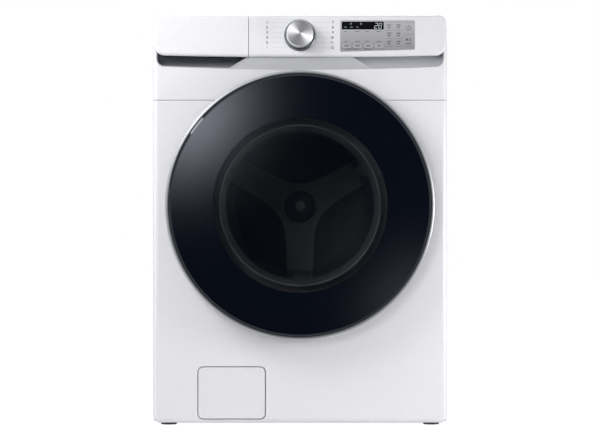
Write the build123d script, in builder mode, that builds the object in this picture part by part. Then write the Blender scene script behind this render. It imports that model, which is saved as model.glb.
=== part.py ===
"""Front load washing machine.

X runs to the machine's right as seen from the front, Y from the front to the back, Z up.
The origin is on the floor, in the middle of the overall width and depth.
"""

import os
from math import atan2, cos, degrees, hypot, radians, sin, sqrt

from build123d import *

os.makedirs("parts", exist_ok=True)

# ---- Overall size ----
WIDTH = 686.0            # cabinet, side to side
HALF_W = WIDTH / 2
HEIGHT = 957.0           # floor to the top cover
DEPTH = 797.0            # door glass to the hose threads at the back
DOOR_PROUD = 74.0        # middle of the door glass ahead of the front panels
REAR_STANDOFF = 18.0     # hose threads behind the rear wall
FOOT_GAP = 6.0           # floor to the bottom edge of the front panel

# ---- Walls, seams and clearances ----
SHEET = 1.0              # folded steel
MOULD = 2.5              # moulded plastic wall
SEAM = 1.2               # open line between two outer panels
EASE = 0.3               # clearance between pieces that only lie together
SLIDE = 0.5              # clearance round a piece that slides or presses

# ---- Front panels ----
SEAM_Z = 758.0           # line between the lower and the upper front panel
EDGE_R = 12.0            # rounding of the cabinet's front edges
CORNER_R = 17.5          # lower corners of the front, seen from the front
FRONT_RETURN = 24.0      # how far the front panels fold back along the sides

# ---- Fascia, with the control panel and the drawer front ----
FASCIA_W = WIDTH - 4.0
LIP_Z = 858.5            # bottom of the fascia at its middle
LIP_RISE = 4.5           # how much higher that edge is at its ends
LIP_R = 26.0             # lower corners of the fascia
CROWN_R = 18.0           # upper corners of the fascia and the top cover
FASCIA_FRONT = 7.0       # fascia ahead of the front panel, at the lip
FASCIA_LEAN = 5.8        # degrees that the face leans back
FASCIA_DEPTH = 62.0      # fascia behind the front panel plane
FASCIA_EDGE = 7.0        # rolled edge all round the face
DRAWER_EDGE_X = -120.0   # line between the drawer front and the control panel

# ---- Handle band under the fascia ----
BAND_HALF = HALF_W - 7.5
BAND_Z = 830.0           # its bottom edge at the middle
BAND_RISE = 7.0
BAND_R = 20.0
BAND_SET = 2.0           # band behind the front panel plane
BAND_DEPTH = 46.0
POCKET_DEPTH = 31.0      # finger pocket of the drawer, at the left
HOLLOW_DEPTH = 15.0      # matching hollow at the right
POCKET_FLOOR = 3.0       # band left under each pocket at its inner end
POCKET_LAND = 2.0        # and all round its outer end
POCKET_IN_TOP = 124.0    # inner end of each pocket from the middle, at the lip
POCKET_IN_LOW = 167.0    # and at the pocket floor

# ---- Controls on the face, measured on it ----
KNOB_Z = 909.5
KNOB_R = 31.4
KNOB_H = 30.0
BEZEL_R = 37.4
BEZEL_H = 6.0
KNOB_SHAFT_R = 3.0
TOUCH_LEFT = 93.5
TOUCH_RIGHT = 267.8
TOUCH_TOP = 945.2
TOUCH_LOW_LEFT = 870.9
TOUCH_LOW_RIGHT = 876.2
TOUCH_T = 1.2
WINDOW_W = 97.9
WINDOW_H = 18.6
WINDOW_CX = 146.4
WINDOW_CZ = 932.6
PILL_W = 23.3
PILL_H = 13.0
PILL_Z = 884.7
PILL_FIRST_X = 108.4
PILL_PITCH = 25.2
PILL_COUNT = 4
PILL_PROUD = 1.6
PILL_STEM_R = 2.2
PILL_TRAVEL = 1.0

# ---- Door ----
AXIS_Z = 513.5           # height of the door and drum axis
DOOR_R = HALF_W - 31.0   # silver ring
GLASS_R = DOOR_R - 8.0   # dark outer glass
GLASS_T = 4.5
GLASS_DOME = 26.0        # how far the glass bulges
BEVEL = 5.0              # bevel round the glass
BEVEL_RISE = 1.75
DISH_R = DOOR_R - 32.0   # recess of the front panel behind the door
DISH_DEPTH = 20.0
MOUTH_R = 196.0          # opening of the front panel, where the gasket sits
MOUTH_LIP = 14.0
BOWL_R = 201.0           # flange of the glass bowl
BOWL_TIP_R = 157.0
BOWL_REACH = 105.0       # bowl behind its flange
BOWL_T = 4.0
HINGE_X = -(DOOR_R - 14.0)
HINGE_IN = 31.5          # hinge axis ahead of the front panel
KNUCKLE_Z = 40.0         # hinge knuckles above and below the axis
KNUCKLE_H = 16.0
PIN_R = 3.0
HOOK_X = DISH_R - 28.0   # door hook from the middle

# ---- Tub and drum ----
TUB_SET = 66.5           # front of the tub behind the front panel
TUB_R = HALF_W - 41.0
TUB_T = 3.0
TUB_L = 498.0
TUB_SPLIT = 200.0        # joint of the two halves behind the tub's front
TUB_NECK_R = 200.0
TUB_FLANGE = 13.0
DRUM_R = TUB_R - 21.0
DRUM_T = 1.0
DRUM_MOUTH_R = 187.0
DRUM_FRONT_GAP = 13.0    # drum behind the tub's front
DRUM_L = 457.0
ARM_HUB_W = 97.0         # pressed arm of the drum's back, at the hub and at the rim
ARM_RIM_W = 70.0
ARM_H = 12.0
HUB_R = 61.0
HUB_RING_R = 45.0
LIFTER_W = 70.0
LIFTER_RIDGE_W = 30.0
LIFTER_H = 112.0
LIFTER_L = 330.0
SHAFT_R = 15.0
SHAFT_REAR_R = 12.5
BEARING_R = 36.0
BEARING_REAR_R = 31.0
BEARING_W = 19.0
BEARING_REAR_W = 16.0
STATOR_R = 125.0
STATOR_BORE_R = 76.0
STATOR_W = 32.0
ROTOR_T = 2.5
MAGNET_T = 5.0
AIR_GAP = 1.2

# ---- Suspension ----
SPRING_X = TUB_R - 97.0
SPRING_Y = 60.0
SPRING_R = 15.0
WIRE_R = 2.0
SPRING_TURNS = 12
STEM_HOLE_R = 3.5        # holes for the hooks of the springs
DAMPER_TOP_X = TUB_R - 102.0
DAMPER_LOW_X = HALF_W - 68.0
DAMPER_R = 17.0
DAMPER_BORE_R = 13.0
DAMPER_ROD_R = 6.0
DAMPER_TUBE_L = 128.0

# ---- Base, feet and service pocket ----
BASE_LOW = 14.0
BASE_TOP = 42.0
BASE_T = 3.0
FOOT_X = HALF_W - 35.0
FOOT_R = 18.5
FOOT_PAD_H = 9.0
STEM_R = 5.0
STEM_L = 44.0
FOOT_FRONT_IN = 44.0     # front feet behind the front panel, rear feet ahead of the rear wall
COVER_X = -159.3         # middle of the service door
COVER_W = 155.5
COVER_H = 119.9
COVER_LOW = 16.1
COVER_R = 11.6
COVER_GAP = 2.0
COVER_T = 2.5
POCKET_T = 2.0
SERVICE_DEPTH = 36.0
FILTER_R = 24.0
FILTER_L = 84.0
FILTER_Z = 76.0

# ---- Top, drawer and services at the rear ----
TOP_H = 26.0
TOP_T = 3.0
BRACE_H = 10.0
BRACE_W = 28.0
TRAY_LEFT = -(HALF_W - 17.0)
TRAY_RIGHT = DRAWER_EDGE_X - 14.0
TRAY_LOW = 874.0
TRAY_TOP = 916.0
TRAY_L = 246.0
TRAY_T = 2.0
HOUSING_T = 2.0
VALVE_X = (-(HALF_W - 51.0), -(HALF_W - 97.0))
VALVE_Z = 895.0
THREAD_R = 13.2          # 3/4 inch garden hose thread, over the crests
HOSE_R = 9.0
HOSE_BORE_R = 6.5
DRAIN_R = 12.0
DRAIN_BORE_R = 9.0
DRAIN_X = -(HALF_W - 25.0)
DRAIN_Z = 780.0
GLAND_X = HALF_W - 55.0
GLAND_Z = 880.0
CORD_HOLE_R = 4.2

# ---- Places worked out from the sizes above ----
FRONT_Y = -DEPTH / 2 + DOOR_PROUD
REAR_Y = DEPTH / 2 - REAR_STANDOFF
SIDE_Y = FRONT_Y + FRONT_RETURN + SEAM
TOP_Z = HEIGHT - TOP_H
DISH_Y = FRONT_Y + DISH_DEPTH
FASCIA_BACK = FRONT_Y + FASCIA_DEPTH
HINGE_Y = FRONT_Y - HINGE_IN
TUB_FRONT = FRONT_Y + TUB_SET
TUB_SEAM = TUB_FRONT + TUB_SPLIT
TUB_REAR = TUB_FRONT + TUB_L
TUB_IN_R = TUB_R - TUB_T
DRUM_FRONT = TUB_FRONT + DRUM_FRONT_GAP
DRUM_REAR = DRUM_FRONT + DRUM_L
ARM_ANGLES = (30, 150, 270)
SIDES = (-1, 1)


def front(y):
    """Plane seen from the front: its x is X and its y is Z, and its normal points to the viewer."""
    return Plane(origin=(0, y, 0), x_dir=(1, 0, 0), z_dir=(0, -1, 0))


def side(x):
    """Plane seen from the side: its x is Y and its y is Z, and its normal is +X."""
    return Plane(origin=(x, 0, 0), x_dir=(0, 1, 0), z_dir=(1, 0, 0))


DRUM_AXIS = Axis((0, 0, AXIS_Z), (0, 1, 0))
DRUM_SIDE = Plane(origin=(0, 0, AXIS_Z), x_dir=(0, 1, 0), z_dir=(1, 0, 0))


def drum_face(y):
    """Plane across the drum axis: its origin is on the axis and its y is Z."""
    return Plane(origin=(0, y, AXIS_Z), x_dir=(1, 0, 0), z_dir=(0, -1, 0))


def turned(*outline):
    """Solid of revolution round the drum axis, from an outline of (y, radius) points."""
    with BuildPart() as solid:
        with BuildSketch(DRUM_SIDE):
            with BuildLine():
                Polyline(*outline, close=True)
            make_face()
        revolve(axis=DRUM_AXIS)
    return solid.part


# ======== Cabinet ========
GLAND_R = 9.0
# Two folded side walls and a back panel between their hems, open at the front, the top and the bottom.
RETURN_W = 24.0          # front flanges that the front panels are screwed to
HEM_W = 8.0              # how far the side walls turn round onto the back
PANEL_JOINT = 0.2        # joint between a hem and the back panel
ACCESS_R = 172.0         # opening in the back over the rotor
COVER_LAP = 14.0         # rim of the access cover outside the opening
ACCESS_SCREWS = 6
SCREW_R = 2.0
SCREW_HEAD_R = 4.5
SCREW_HEAD_H = 2.4
SCREW_L = 12.0
TRANSIT_X = 340.0        # spacing of the holes for the transit bolts
TRANSIT_Z = 330.0
TRANSIT_R = 8.0
with BuildPart() as cabinet_shell:
    wall_mid = (SIDE_Y + REAR_Y) / 2
    wall_len = REAR_Y - SIDE_Y
    with BuildSketch(Plane.XY.offset(FOOT_GAP + 2 * SHEET)):
        with Locations((0, wall_mid)):
            Rectangle(WIDTH, wall_len)
        with Locations((0, wall_mid)):
            Rectangle(WIDTH - 2 * SHEET, wall_len - 2 * SHEET, mode=Mode.SUBTRACT)
        with Locations((0, SIDE_Y)):
            Rectangle(WIDTH - 2 * RETURN_W, 4 * SHEET, mode=Mode.SUBTRACT)
    extrude(amount=TOP_Z - FOOT_GAP - 2 * SHEET)
    # the front flanges end below the fascia and make room for the handle band
    with BuildSketch(front(SIDE_Y + 2 * SHEET)):
        with Locations((0, LIP_Z - EASE + HEIGHT / 2)):
            Rectangle(WIDTH - 2 * SHEET, HEIGHT)
        with Locations((0, BAND_Z + HEIGHT / 2)):
            Rectangle(2 * (BAND_HALF + EASE), HEIGHT)
    extrude(amount=4 * SHEET, mode=Mode.SUBTRACT)
    with BuildSketch(front(REAR_Y + SHEET)):
        with Locations((0, AXIS_Z)):
            Circle(ACCESS_R)
        with Locations(*[(x, VALVE_Z) for x in VALVE_X]):
            Circle(THREAD_R + SLIDE)
        with Locations((DRAIN_X, DRAIN_Z)):
            Circle(DRAIN_R + SLIDE)
        with Locations((GLAND_X, GLAND_Z)):
            Circle(GLAND_R + EASE)
        with Locations((0, AXIS_Z)):
            with PolarLocations(ACCESS_R + COVER_LAP / 2, ACCESS_SCREWS):
                Circle(SCREW_R + 0.1)
            with GridLocations(TRANSIT_X, TRANSIT_Z, 2, 2):
                Circle(TRANSIT_R)
    extrude(amount=4 * SHEET, mode=Mode.SUBTRACT)
    # the joints between the hems and the back panel
    with BuildSketch(front(REAR_Y + SHEET)):
        with GridLocations(WIDTH - 2 * HEM_W, 0, 2, 1):
            Rectangle(PANEL_JOINT, 3 * HEIGHT)
    extrude(amount=4 * SHEET, mode=Mode.SUBTRACT)
cabinet_shell.part.label = "cabinet_shell"
export_step(cabinet_shell.part, "parts/cabinet_shell.step")

# Pressed cover over the rotor, screwed on behind the opening.
COVER_BULGE = 9.0
with BuildPart() as rear_access_cover:
    add(turned(
        (REAR_Y + EASE, 0), (REAR_Y + COVER_BULGE, 0), (REAR_Y + COVER_BULGE, ACCESS_R - 20),
        (REAR_Y + SHEET + EASE, ACCESS_R), (REAR_Y + SHEET + EASE, ACCESS_R + COVER_LAP),
        (REAR_Y, ACCESS_R + COVER_LAP), (REAR_Y, 0),
    ))
    add(turned(
        (REAR_Y - SHEET, 0), (REAR_Y + COVER_BULGE - SHEET, 0), (REAR_Y + COVER_BULGE - SHEET, ACCESS_R - 21),
        (REAR_Y, ACCESS_R - SHEET), (REAR_Y - SHEET, ACCESS_R - SHEET),
    ), mode=Mode.SUBTRACT)
    with BuildSketch(front(REAR_Y + 2 * SHEET)):
        with Locations((0, AXIS_Z)):
            with PolarLocations(ACCESS_R + COVER_LAP / 2, ACCESS_SCREWS):
                Circle(SCREW_R + 0.1)
    extrude(amount=4 * SHEET, mode=Mode.SUBTRACT)
rear_access_cover.part.label = "rear_access_cover"
export_step(rear_access_cover.part, "parts/rear_access_cover.step")


def panel_block(inset, low, high, roll_bottom):
    """A front panel's solid form with its rolled edges, drawn in by inset on every face."""
    half = HALF_W - inset
    with BuildPart() as block:
        with BuildSketch(front(FRONT_Y + inset)) as outline:
            with Locations((0, (low + high) / 2)):
                Rectangle(2 * half, high - low - 2 * inset)
            if roll_bottom:
                corners = outline.vertices().group_by(Axis.Y)[0]
                fillet(corners, CORNER_R - inset)
        extrude(amount=-(FRONT_RETURN - inset))
        face = block.faces().sort_by(Axis.Y)[0]
        rim = face.edges()
        if roll_bottom:
            edges = rim.sort_by(Axis.Z)[:-1]
        else:
            edges = rim.filter_by(Axis.Z)
        fillet(edges, EDGE_R - inset)
    return block.part


def band_outline(grow):
    """Front view of the handle band, grown all round; its ends are round below."""
    half = BAND_HALF + grow
    high = LIP_Z + LIP_RISE + LIP_R
    with BuildSketch(front(0)) as outline:
        with BuildLine():
            low = ThreePointArc(
                (-half, BAND_Z + BAND_RISE - grow), (0, BAND_Z - grow), (half, BAND_Z + BAND_RISE - grow)
            )
            Polyline(low @ 1, (half, high), (-half, high), low @ 0)
        make_face()
        fillet(outline.vertices().group_by(Axis.Y)[0], BAND_R + grow)
    return outline.sketch


# Lower front panel: it carries the pressed dish behind the door and the service opening.
with BuildPart() as front_panel_lower:
    add(panel_block(0, FOOT_GAP, SEAM_Z, True))
    add(panel_block(SHEET, FOOT_GAP, SEAM_Z, True), mode=Mode.SUBTRACT)
    with BuildSketch(front(FRONT_Y + FRONT_RETURN)):
        with Locations((0, (FOOT_GAP + SEAM_Z) / 2)):
            Rectangle(WIDTH - 2 * EDGE_R, SEAM_Z - FOOT_GAP - 2 * EDGE_R)
    extrude(amount=2 * SHEET, mode=Mode.SUBTRACT)
    with BuildSketch(drum_face(FRONT_Y + FRONT_RETURN)):
        Circle(DISH_R)
    extrude(amount=FRONT_RETURN + SHEET, mode=Mode.SUBTRACT)
    add(turned(
        (FRONT_Y, DISH_R + 2 * SHEET), (FRONT_Y, DISH_R), (DISH_Y - 3, DISH_R - 9), (DISH_Y, DISH_R - 14),
        (DISH_Y, MOUTH_R), (DISH_Y + MOUTH_LIP, MOUTH_R), (DISH_Y + MOUTH_LIP, MOUTH_R + SHEET),
        (DISH_Y + SHEET, MOUTH_R + SHEET), (DISH_Y + SHEET, DISH_R - 13), (DISH_Y - 2, DISH_R - 8),
        (FRONT_Y + SHEET, DISH_R + SHEET), (FRONT_Y + SHEET, DISH_R + 2 * SHEET),
    ))
    with BuildSketch(front(FRONT_Y + 4 * SHEET)):
        with Locations((COVER_X, COVER_LOW + COVER_H / 2)):
            RectangleRounded(COVER_W + 2 * COVER_GAP, COVER_H + 2 * COVER_GAP, COVER_R + COVER_GAP)
    extrude(amount=6 * SHEET, mode=Mode.SUBTRACT)
    # slot for the door hook
    with BuildSketch(front(DISH_Y + 4 * SHEET)):
        with Locations((HOOK_X + 1, AXIS_Z)):
            Rectangle(20, 46)
    extrude(amount=8 * SHEET, mode=Mode.SUBTRACT)
front_panel_lower.part.label = "front_panel_lower"
export_step(front_panel_lower.part, "parts/front_panel_lower.step")

# The fascia's form. The drawer front and the control panel share it, and what lies round it clears it.
LEAN = radians(FASCIA_LEAN)
LIP_FACE_Y = FRONT_Y - FASCIA_FRONT


def face_y(z):
    """Y of the leaning face at height z."""
    return LIP_FACE_Y + (z - LIP_Z) * sin(LEAN) / cos(LEAN)


# A plane on the leaning face: its origin is level with the lip, x is X, y runs up the face.
FACE = Plane(origin=(0, LIP_FACE_Y, LIP_Z), x_dir=(1, 0, 0), z_dir=(0, -cos(LEAN), sin(LEAN)))


def up(z):
    """Distance up the face from the lip to height z."""
    return (z - LIP_Z) / cos(LEAN)


def fascia_block(inset, left, right):
    """The fascia's outer form between two X places, or its cavity when inset is the wall."""
    half = FASCIA_W / 2 - inset
    depth = HEIGHT - LIP_Z - inset
    with BuildPart() as block:
        with BuildSketch(front(FASCIA_BACK)) as outline:
            with BuildLine():
                low = ThreePointArc(
                    (-half, LIP_Z + LIP_RISE + inset), (0, LIP_Z + inset), (half, LIP_Z + LIP_RISE + inset)
                )
                Polyline(low @ 1, (half, HEIGHT - inset), (-half, HEIGHT - inset), low @ 0)
            make_face()
            fillet(outline.vertices().group_by(Axis.Y)[0], LIP_R - inset)
            fillet(outline.vertices().group_by(Axis.Y)[-1], CROWN_R - inset)
        extrude(amount=FASCIA_DEPTH + 2 * FASCIA_FRONT)
        # lean the face back
        with BuildSketch(side(0)):
            with BuildLine():
                Polyline(
                    (face_y(LIP_Z - depth) + inset, LIP_Z - depth),
                    (face_y(HEIGHT + depth) + inset, HEIGHT + depth),
                    (FASCIA_BACK - 4 * DEPTH, HEIGHT + depth), (FASCIA_BACK - 4 * DEPTH, LIP_Z - depth),
                    close=True
                )
            make_face()
        extrude(amount=WIDTH, both=True, mode=Mode.SUBTRACT)
        face = block.faces().filter_by(GeomType.PLANE).sort_by(Axis.Y)[0]
        fillet(face.edges(), FASCIA_EDGE - inset)
        with BuildSketch(front(FASCIA_BACK + 1)):
            with Locations(((left + right) / 2, LIP_Z)):
                Rectangle(right - left, HEIGHT)
        extrude(amount=DEPTH, mode=Mode.INTERSECT)
    return block.part


# Upper front panel: the narrow strip round the handle band, with a horn at each end of the band.
with BuildPart() as front_panel_upper:
    upper_high = LIP_Z + LIP_RISE + LIP_R - 3.0
    add(panel_block(0, SEAM_Z + SEAM, upper_high, False))
    add(panel_block(SHEET, SEAM_Z + SEAM, upper_high, False), mode=Mode.SUBTRACT)
    with BuildSketch(front(FRONT_Y + FRONT_RETURN)):
        with Locations((0, (SEAM_Z + upper_high) / 2)):
            Rectangle(WIDTH - 2 * EDGE_R, upper_high - SEAM_Z - 2 * EDGE_R)
    extrude(amount=2 * SHEET, mode=Mode.SUBTRACT)
    with BuildSketch(drum_face(FRONT_Y + FRONT_RETURN + SHEET)):
        Circle(DISH_R + 2 * SHEET + SLIDE)
    extrude(amount=FRONT_RETURN + 2 * SHEET, mode=Mode.SUBTRACT)
    extrude(band_outline(EASE).moved(Pos(0, FRONT_Y - SHEET, 0)), amount=-(FRONT_RETURN + 4 * SHEET),
            mode=Mode.SUBTRACT)
    add(fascia_block(-EASE, -WIDTH, WIDTH), mode=Mode.SUBTRACT)
front_panel_upper.part.label = "front_panel_upper"
export_step(front_panel_upper.part, "parts/front_panel_upper.step")

# Top cover: a pressed lid with rounded long edges, resting on the walls.
with BuildPart() as top_cover:
    top_front = FASCIA_BACK + SEAM
    for inset in (0.0, TOP_T):
        with BuildSketch(front(top_front + inset)) as lid_outline:
            with Locations((0, TOP_Z + TOP_H / 2)):
                Rectangle(WIDTH - 2 * inset, TOP_H)
            if inset:
                with Locations((0, HEIGHT)):
                    Rectangle(WIDTH, 2 * inset, mode=Mode.SUBTRACT)
            fillet(lid_outline.vertices().group_by(Axis.Y)[-1], CROWN_R - inset)
        extrude(amount=-(REAR_Y - top_front - 2 * inset), mode=Mode.SUBTRACT if inset else Mode.ADD)
top_cover.part.label = "top_cover"
export_step(top_cover.part, "parts/top_cover.step")


# ======== Fascia ========
# Control panel: the right part of the fascia, with its end wall at the drawer.
PANEL_LEFT = DRAWER_EDGE_X + SEAM / 2
SCREEN_SINK = 1.0
SHAFT_EASE = 0.06
with BuildPart() as control_panel:
    add(fascia_block(0.0, PANEL_LEFT, HALF_W))
    add(fascia_block(MOULD, PANEL_LEFT + MOULD, HALF_W), mode=Mode.SUBTRACT)
    # knob shaft
    with BuildSketch(FACE):
        with Locations((0, up(KNOB_Z))):
            Circle(KNOB_SHAFT_R + SHAFT_EASE)
    extrude(amount=-3 * MOULD, mode=Mode.SUBTRACT)
    # the touch panel lies in a shallow seat
    with BuildSketch(FACE) as touch_seat:
        with BuildLine():
            Polyline(
                (TOUCH_LEFT, up(TOUCH_LOW_LEFT)), (TOUCH_RIGHT, up(TOUCH_LOW_RIGHT)),
                (TOUCH_RIGHT, up(TOUCH_TOP)), (TOUCH_LEFT, up(TOUCH_TOP)), close=True
            )
        make_face()
        fillet(touch_seat.vertices(), 3.0)
    extrude(amount=-SCREEN_SINK, mode=Mode.SUBTRACT)
    # holes for the push buttons
    with BuildSketch(FACE):
        for number in range(PILL_COUNT):
            with Locations((PILL_FIRST_X + number * PILL_PITCH, up(PILL_Z))):
                SlotOverall(PILL_W + 2 * SLIDE, PILL_H + 2 * SLIDE)
    extrude(amount=-3 * MOULD, mode=Mode.SUBTRACT)
    # hole behind the display window
    with BuildSketch(FACE):
        with Locations((WINDOW_CX, up(WINDOW_CZ))):
            Rectangle(WINDOW_W - 8, WINDOW_H - 4)
    extrude(amount=-3 * MOULD, mode=Mode.SUBTRACT)
control_panel.part.label = "control_panel"
export_step(control_panel.part, "parts/control_panel.step")

# Silver sheet over the keys, with slots for the buttons and a cut for the display.
with BuildPart() as touch_panel:
    with BuildSketch(FACE.offset(-SCREEN_SINK)):
        add(touch_seat.sketch_local)
        with Locations((WINDOW_CX, up(WINDOW_CZ))):
            RectangleRounded(WINDOW_W, WINDOW_H, 1.5, mode=Mode.SUBTRACT)
        for number in range(PILL_COUNT):
            with Locations((PILL_FIRST_X + number * PILL_PITCH, up(PILL_Z))):
                SlotOverall(PILL_W + 2 * SLIDE, PILL_H + 2 * SLIDE, mode=Mode.SUBTRACT)
    extrude(amount=TOUCH_T)
touch_panel.part.label = "touch_panel"
export_step(touch_panel.part, "parts/touch_panel.step")

with BuildPart() as display_window:
    with BuildSketch(FACE.offset(-SCREEN_SINK)):
        with Locations((WINDOW_CX, up(WINDOW_CZ))):
            RectangleRounded(WINDOW_W - 0.1, WINDOW_H - 0.1, 1.5)
    extrude(amount=TOUCH_T + 0.2)
display_window.part.label = "display_window"
export_step(display_window.part, "parts/display_window.step")

# Four push buttons, each with a stem to its switch on the board.
BOARD_SET = 19.0         # board face behind the leaning face
BOARD_T = 1.6
SWITCH_H = 4.0
PILL_FLANGE = 1.5
for number in range(PILL_COUNT):
    with BuildPart() as button:
        centre = (PILL_FIRST_X + number * PILL_PITCH, up(PILL_Z))
        with BuildSketch(FACE.offset(-MOULD - PILL_TRAVEL - EASE)):
            with Locations(centre):
                SlotOverall(PILL_W, PILL_H)
        extrude(amount=MOULD + PILL_TRAVEL + EASE + TOUCH_T - SCREEN_SINK + PILL_PROUD)
        fillet(button.faces().sort_by(Axis.Y)[0].edges(), 1.0)
        with BuildSketch(FACE.offset(-MOULD - EASE)):
            with Locations(centre):
                SlotOverall(PILL_W - 0.8, PILL_H + 3.0)
        extrude(amount=-PILL_FLANGE)
        with BuildSketch(FACE.offset(-MOULD - EASE)):
            with Locations(centre):
                Circle(PILL_STEM_R)
        extrude(amount=-(BOARD_SET - MOULD - EASE - SWITCH_H - PILL_TRAVEL - 0.1))
    button.part.label = f"push_button_{number + 1}"
    export_step(button.part, f"parts/push_button_{number + 1}.step")

# Control board behind the face, with its switches, the knob's encoder and the standoffs to the face.
BOARD_LEFT = -45.0
BOARD_RIGHT = 282.0
BOARD_LOW = 878.0
BOARD_HIGH = 944.0
with BuildPart() as control_board:
    with BuildSketch(FACE.offset(-BOARD_SET)):
        with Locations(((BOARD_LEFT + BOARD_RIGHT) / 2, up((BOARD_LOW + BOARD_HIGH) / 2))):
            Rectangle(BOARD_RIGHT - BOARD_LEFT, BOARD_HIGH - BOARD_LOW)
        with Locations((0, up(KNOB_Z))):
            Circle(KNOB_SHAFT_R + SHAFT_EASE, mode=Mode.SUBTRACT)
    extrude(amount=-BOARD_T)
    with BuildSketch(FACE.offset(-BOARD_SET)):
        for number in range(PILL_COUNT):
            with Locations((PILL_FIRST_X + number * PILL_PITCH, up(PILL_Z))):
                Rectangle(6, 6)
    extrude(amount=SWITCH_H)
    with BuildSketch(FACE.offset(-BOARD_SET)):
        with Locations((0, up(KNOB_Z))):
            Rectangle(14, 14)
            Circle(KNOB_SHAFT_R + SHAFT_EASE, mode=Mode.SUBTRACT)
    extrude(amount=6.5)
    with BuildSketch(FACE.offset(-MOULD)):
        for x in (BOARD_LEFT + 6, 80.0, BOARD_RIGHT - 6):
            for z in (BOARD_LOW + 6, BOARD_HIGH - 6):
                with Locations((x, up(z))):
                    Circle(3.0)
    extrude(amount=-(BOARD_SET - MOULD))
control_board.part.label = "control_board"
export_step(control_board.part, "parts/control_board.step")

# Chrome ring round the knob, standing on the face.
KNOB_FOOT = Plane(origin=FACE.from_local_coords((0, up(KNOB_Z))), x_dir=(1, 0, 0), z_dir=FACE.z_dir)
KNOB_SIDE = Plane(origin=KNOB_FOOT.origin, x_dir=(1, 0, 0), z_dir=-FACE.y_dir)
KNOB_AXIS = Axis(KNOB_FOOT.origin, KNOB_FOOT.z_dir)
BEZEL_FLOOR = 1.2
with BuildPart() as knob_bezel:
    with BuildSketch(KNOB_SIDE):
        with BuildLine():
            Polyline(
                (KNOB_SHAFT_R + SHAFT_EASE, 0), (BEZEL_R, 0), (BEZEL_R - 0.6, BEZEL_H - 2.5),
                (BEZEL_R - 3.0, BEZEL_H),
                (KNOB_R + 1.6, BEZEL_H), (KNOB_R + 1.0, BEZEL_FLOOR),
                (KNOB_SHAFT_R + SHAFT_EASE, BEZEL_FLOOR),
                close=True
            )
        make_face()
    revolve(axis=KNOB_AXIS)
knob_bezel.part.label = "knob_bezel"
export_step(knob_bezel.part, "parts/knob_bezel.step")

# Cycle knob: a hollow cap with a chamfered rim, on the shaft of its encoder.
KNOB_WALL = 2.0
KNOB_CHAMFER = 1.0
KNOB_TAPER = 0.6
KNOB_BASE = BEZEL_FLOOR + EASE
with BuildPart() as knob:
    with BuildSketch(KNOB_SIDE):
        with BuildLine():
            Polyline(
                (0, -BOARD_SET - BOARD_T - 1.0), (KNOB_SHAFT_R, -BOARD_SET - BOARD_T - 1.0),
                (KNOB_SHAFT_R, KNOB_BASE), (KNOB_SHAFT_R + 4, KNOB_BASE),
                (KNOB_SHAFT_R + 4, KNOB_H - KNOB_WALL), (KNOB_R - KNOB_WALL - 1, KNOB_H - KNOB_WALL),
                (KNOB_R - KNOB_WALL, KNOB_BASE), (KNOB_R, KNOB_BASE),
                (KNOB_R - KNOB_TAPER, KNOB_H - KNOB_CHAMFER),
                (KNOB_R - KNOB_TAPER - KNOB_CHAMFER, KNOB_H), (0, KNOB_H), close=True
            )
        make_face()
    revolve(axis=KNOB_AXIS)
knob.part.label = "knob"
export_step(knob.part, "parts/knob.step")

# Drawer front: the left part of the fascia. Behind its lip the bottom is open, for the fingers.
DRAWER_RIGHT = DRAWER_EDGE_X - SEAM / 2
FINGER_BACK = FRONT_Y + POCKET_DEPTH + 4.0
TRAY_FRONT = FINGER_BACK + 3.0
RIB_T = 3.0
with BuildPart() as drawer_front:
    add(fascia_block(0.0, -HALF_W, DRAWER_RIGHT))
    add(fascia_block(MOULD, -HALF_W, DRAWER_RIGHT - MOULD), mode=Mode.SUBTRACT)
    with BuildSketch(Plane.XY.offset(LIP_Z - 1)):
        with Locations(((TRAY_LEFT + TRAY_RIGHT) / 2, (FRONT_Y + FASCIA_BACK) / 2 + 2)):
            Rectangle(TRAY_RIGHT - TRAY_LEFT, FASCIA_DEPTH - 1.0)
    extrude(amount=MOULD + LIP_RISE + 4, mode=Mode.SUBTRACT)
    # ribs that carry the tray
    with BuildSketch(front(TRAY_FRONT)):
        for x in (TRAY_LEFT + 30, (TRAY_LEFT + TRAY_RIGHT) / 2, TRAY_RIGHT - 30):
            with Locations((x, (TRAY_TOP + HEIGHT) / 2 - 18)):
                Rectangle(RIB_T, 44)
    extrude(until=Until.NEXT)
drawer_front.part.label = "drawer_front"
export_step(drawer_front.part, "parts/drawer_front.step")

# Drawer tray: main wash, softener and bleach compartments.
TRAY_BACK = TRAY_FRONT + TRAY_L
TRAY_SPLITS = (-262.0, -198.0)
with BuildPart() as drawer_tray:
    with BuildSketch(Plane.XY.offset(TRAY_LOW)) as tray_plan:
        with Locations(((TRAY_LEFT + TRAY_RIGHT) / 2, (TRAY_FRONT + TRAY_BACK) / 2)):
            Rectangle(TRAY_RIGHT - TRAY_LEFT, TRAY_L)
    extrude(amount=TRAY_TOP - TRAY_LOW)
    with BuildSketch(Plane.XY.offset(TRAY_LOW + TRAY_T)):
        edges = (TRAY_LEFT, *TRAY_SPLITS, TRAY_RIGHT)
        for near, far in zip(edges, edges[1:]):
            with Locations(((near + far) / 2, (TRAY_FRONT + TRAY_BACK) / 2)):
                RectangleRounded(far - near - 2 * TRAY_T, TRAY_L - 2 * TRAY_T, 8.0)
    extrude(amount=TRAY_TOP, mode=Mode.SUBTRACT)
    # overflow notch at the back of the main compartment
    with BuildSketch(front(TRAY_BACK + 1)):
        with Locations(((TRAY_SPLITS[1] + TRAY_RIGHT) / 2, TRAY_LOW + 12)):
            Rectangle(36, 20)
    extrude(amount=TRAY_T + 2, mode=Mode.SUBTRACT)
drawer_tray.part.label = "drawer_tray"
export_step(drawer_tray.part, "parts/drawer_tray.step")

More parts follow.
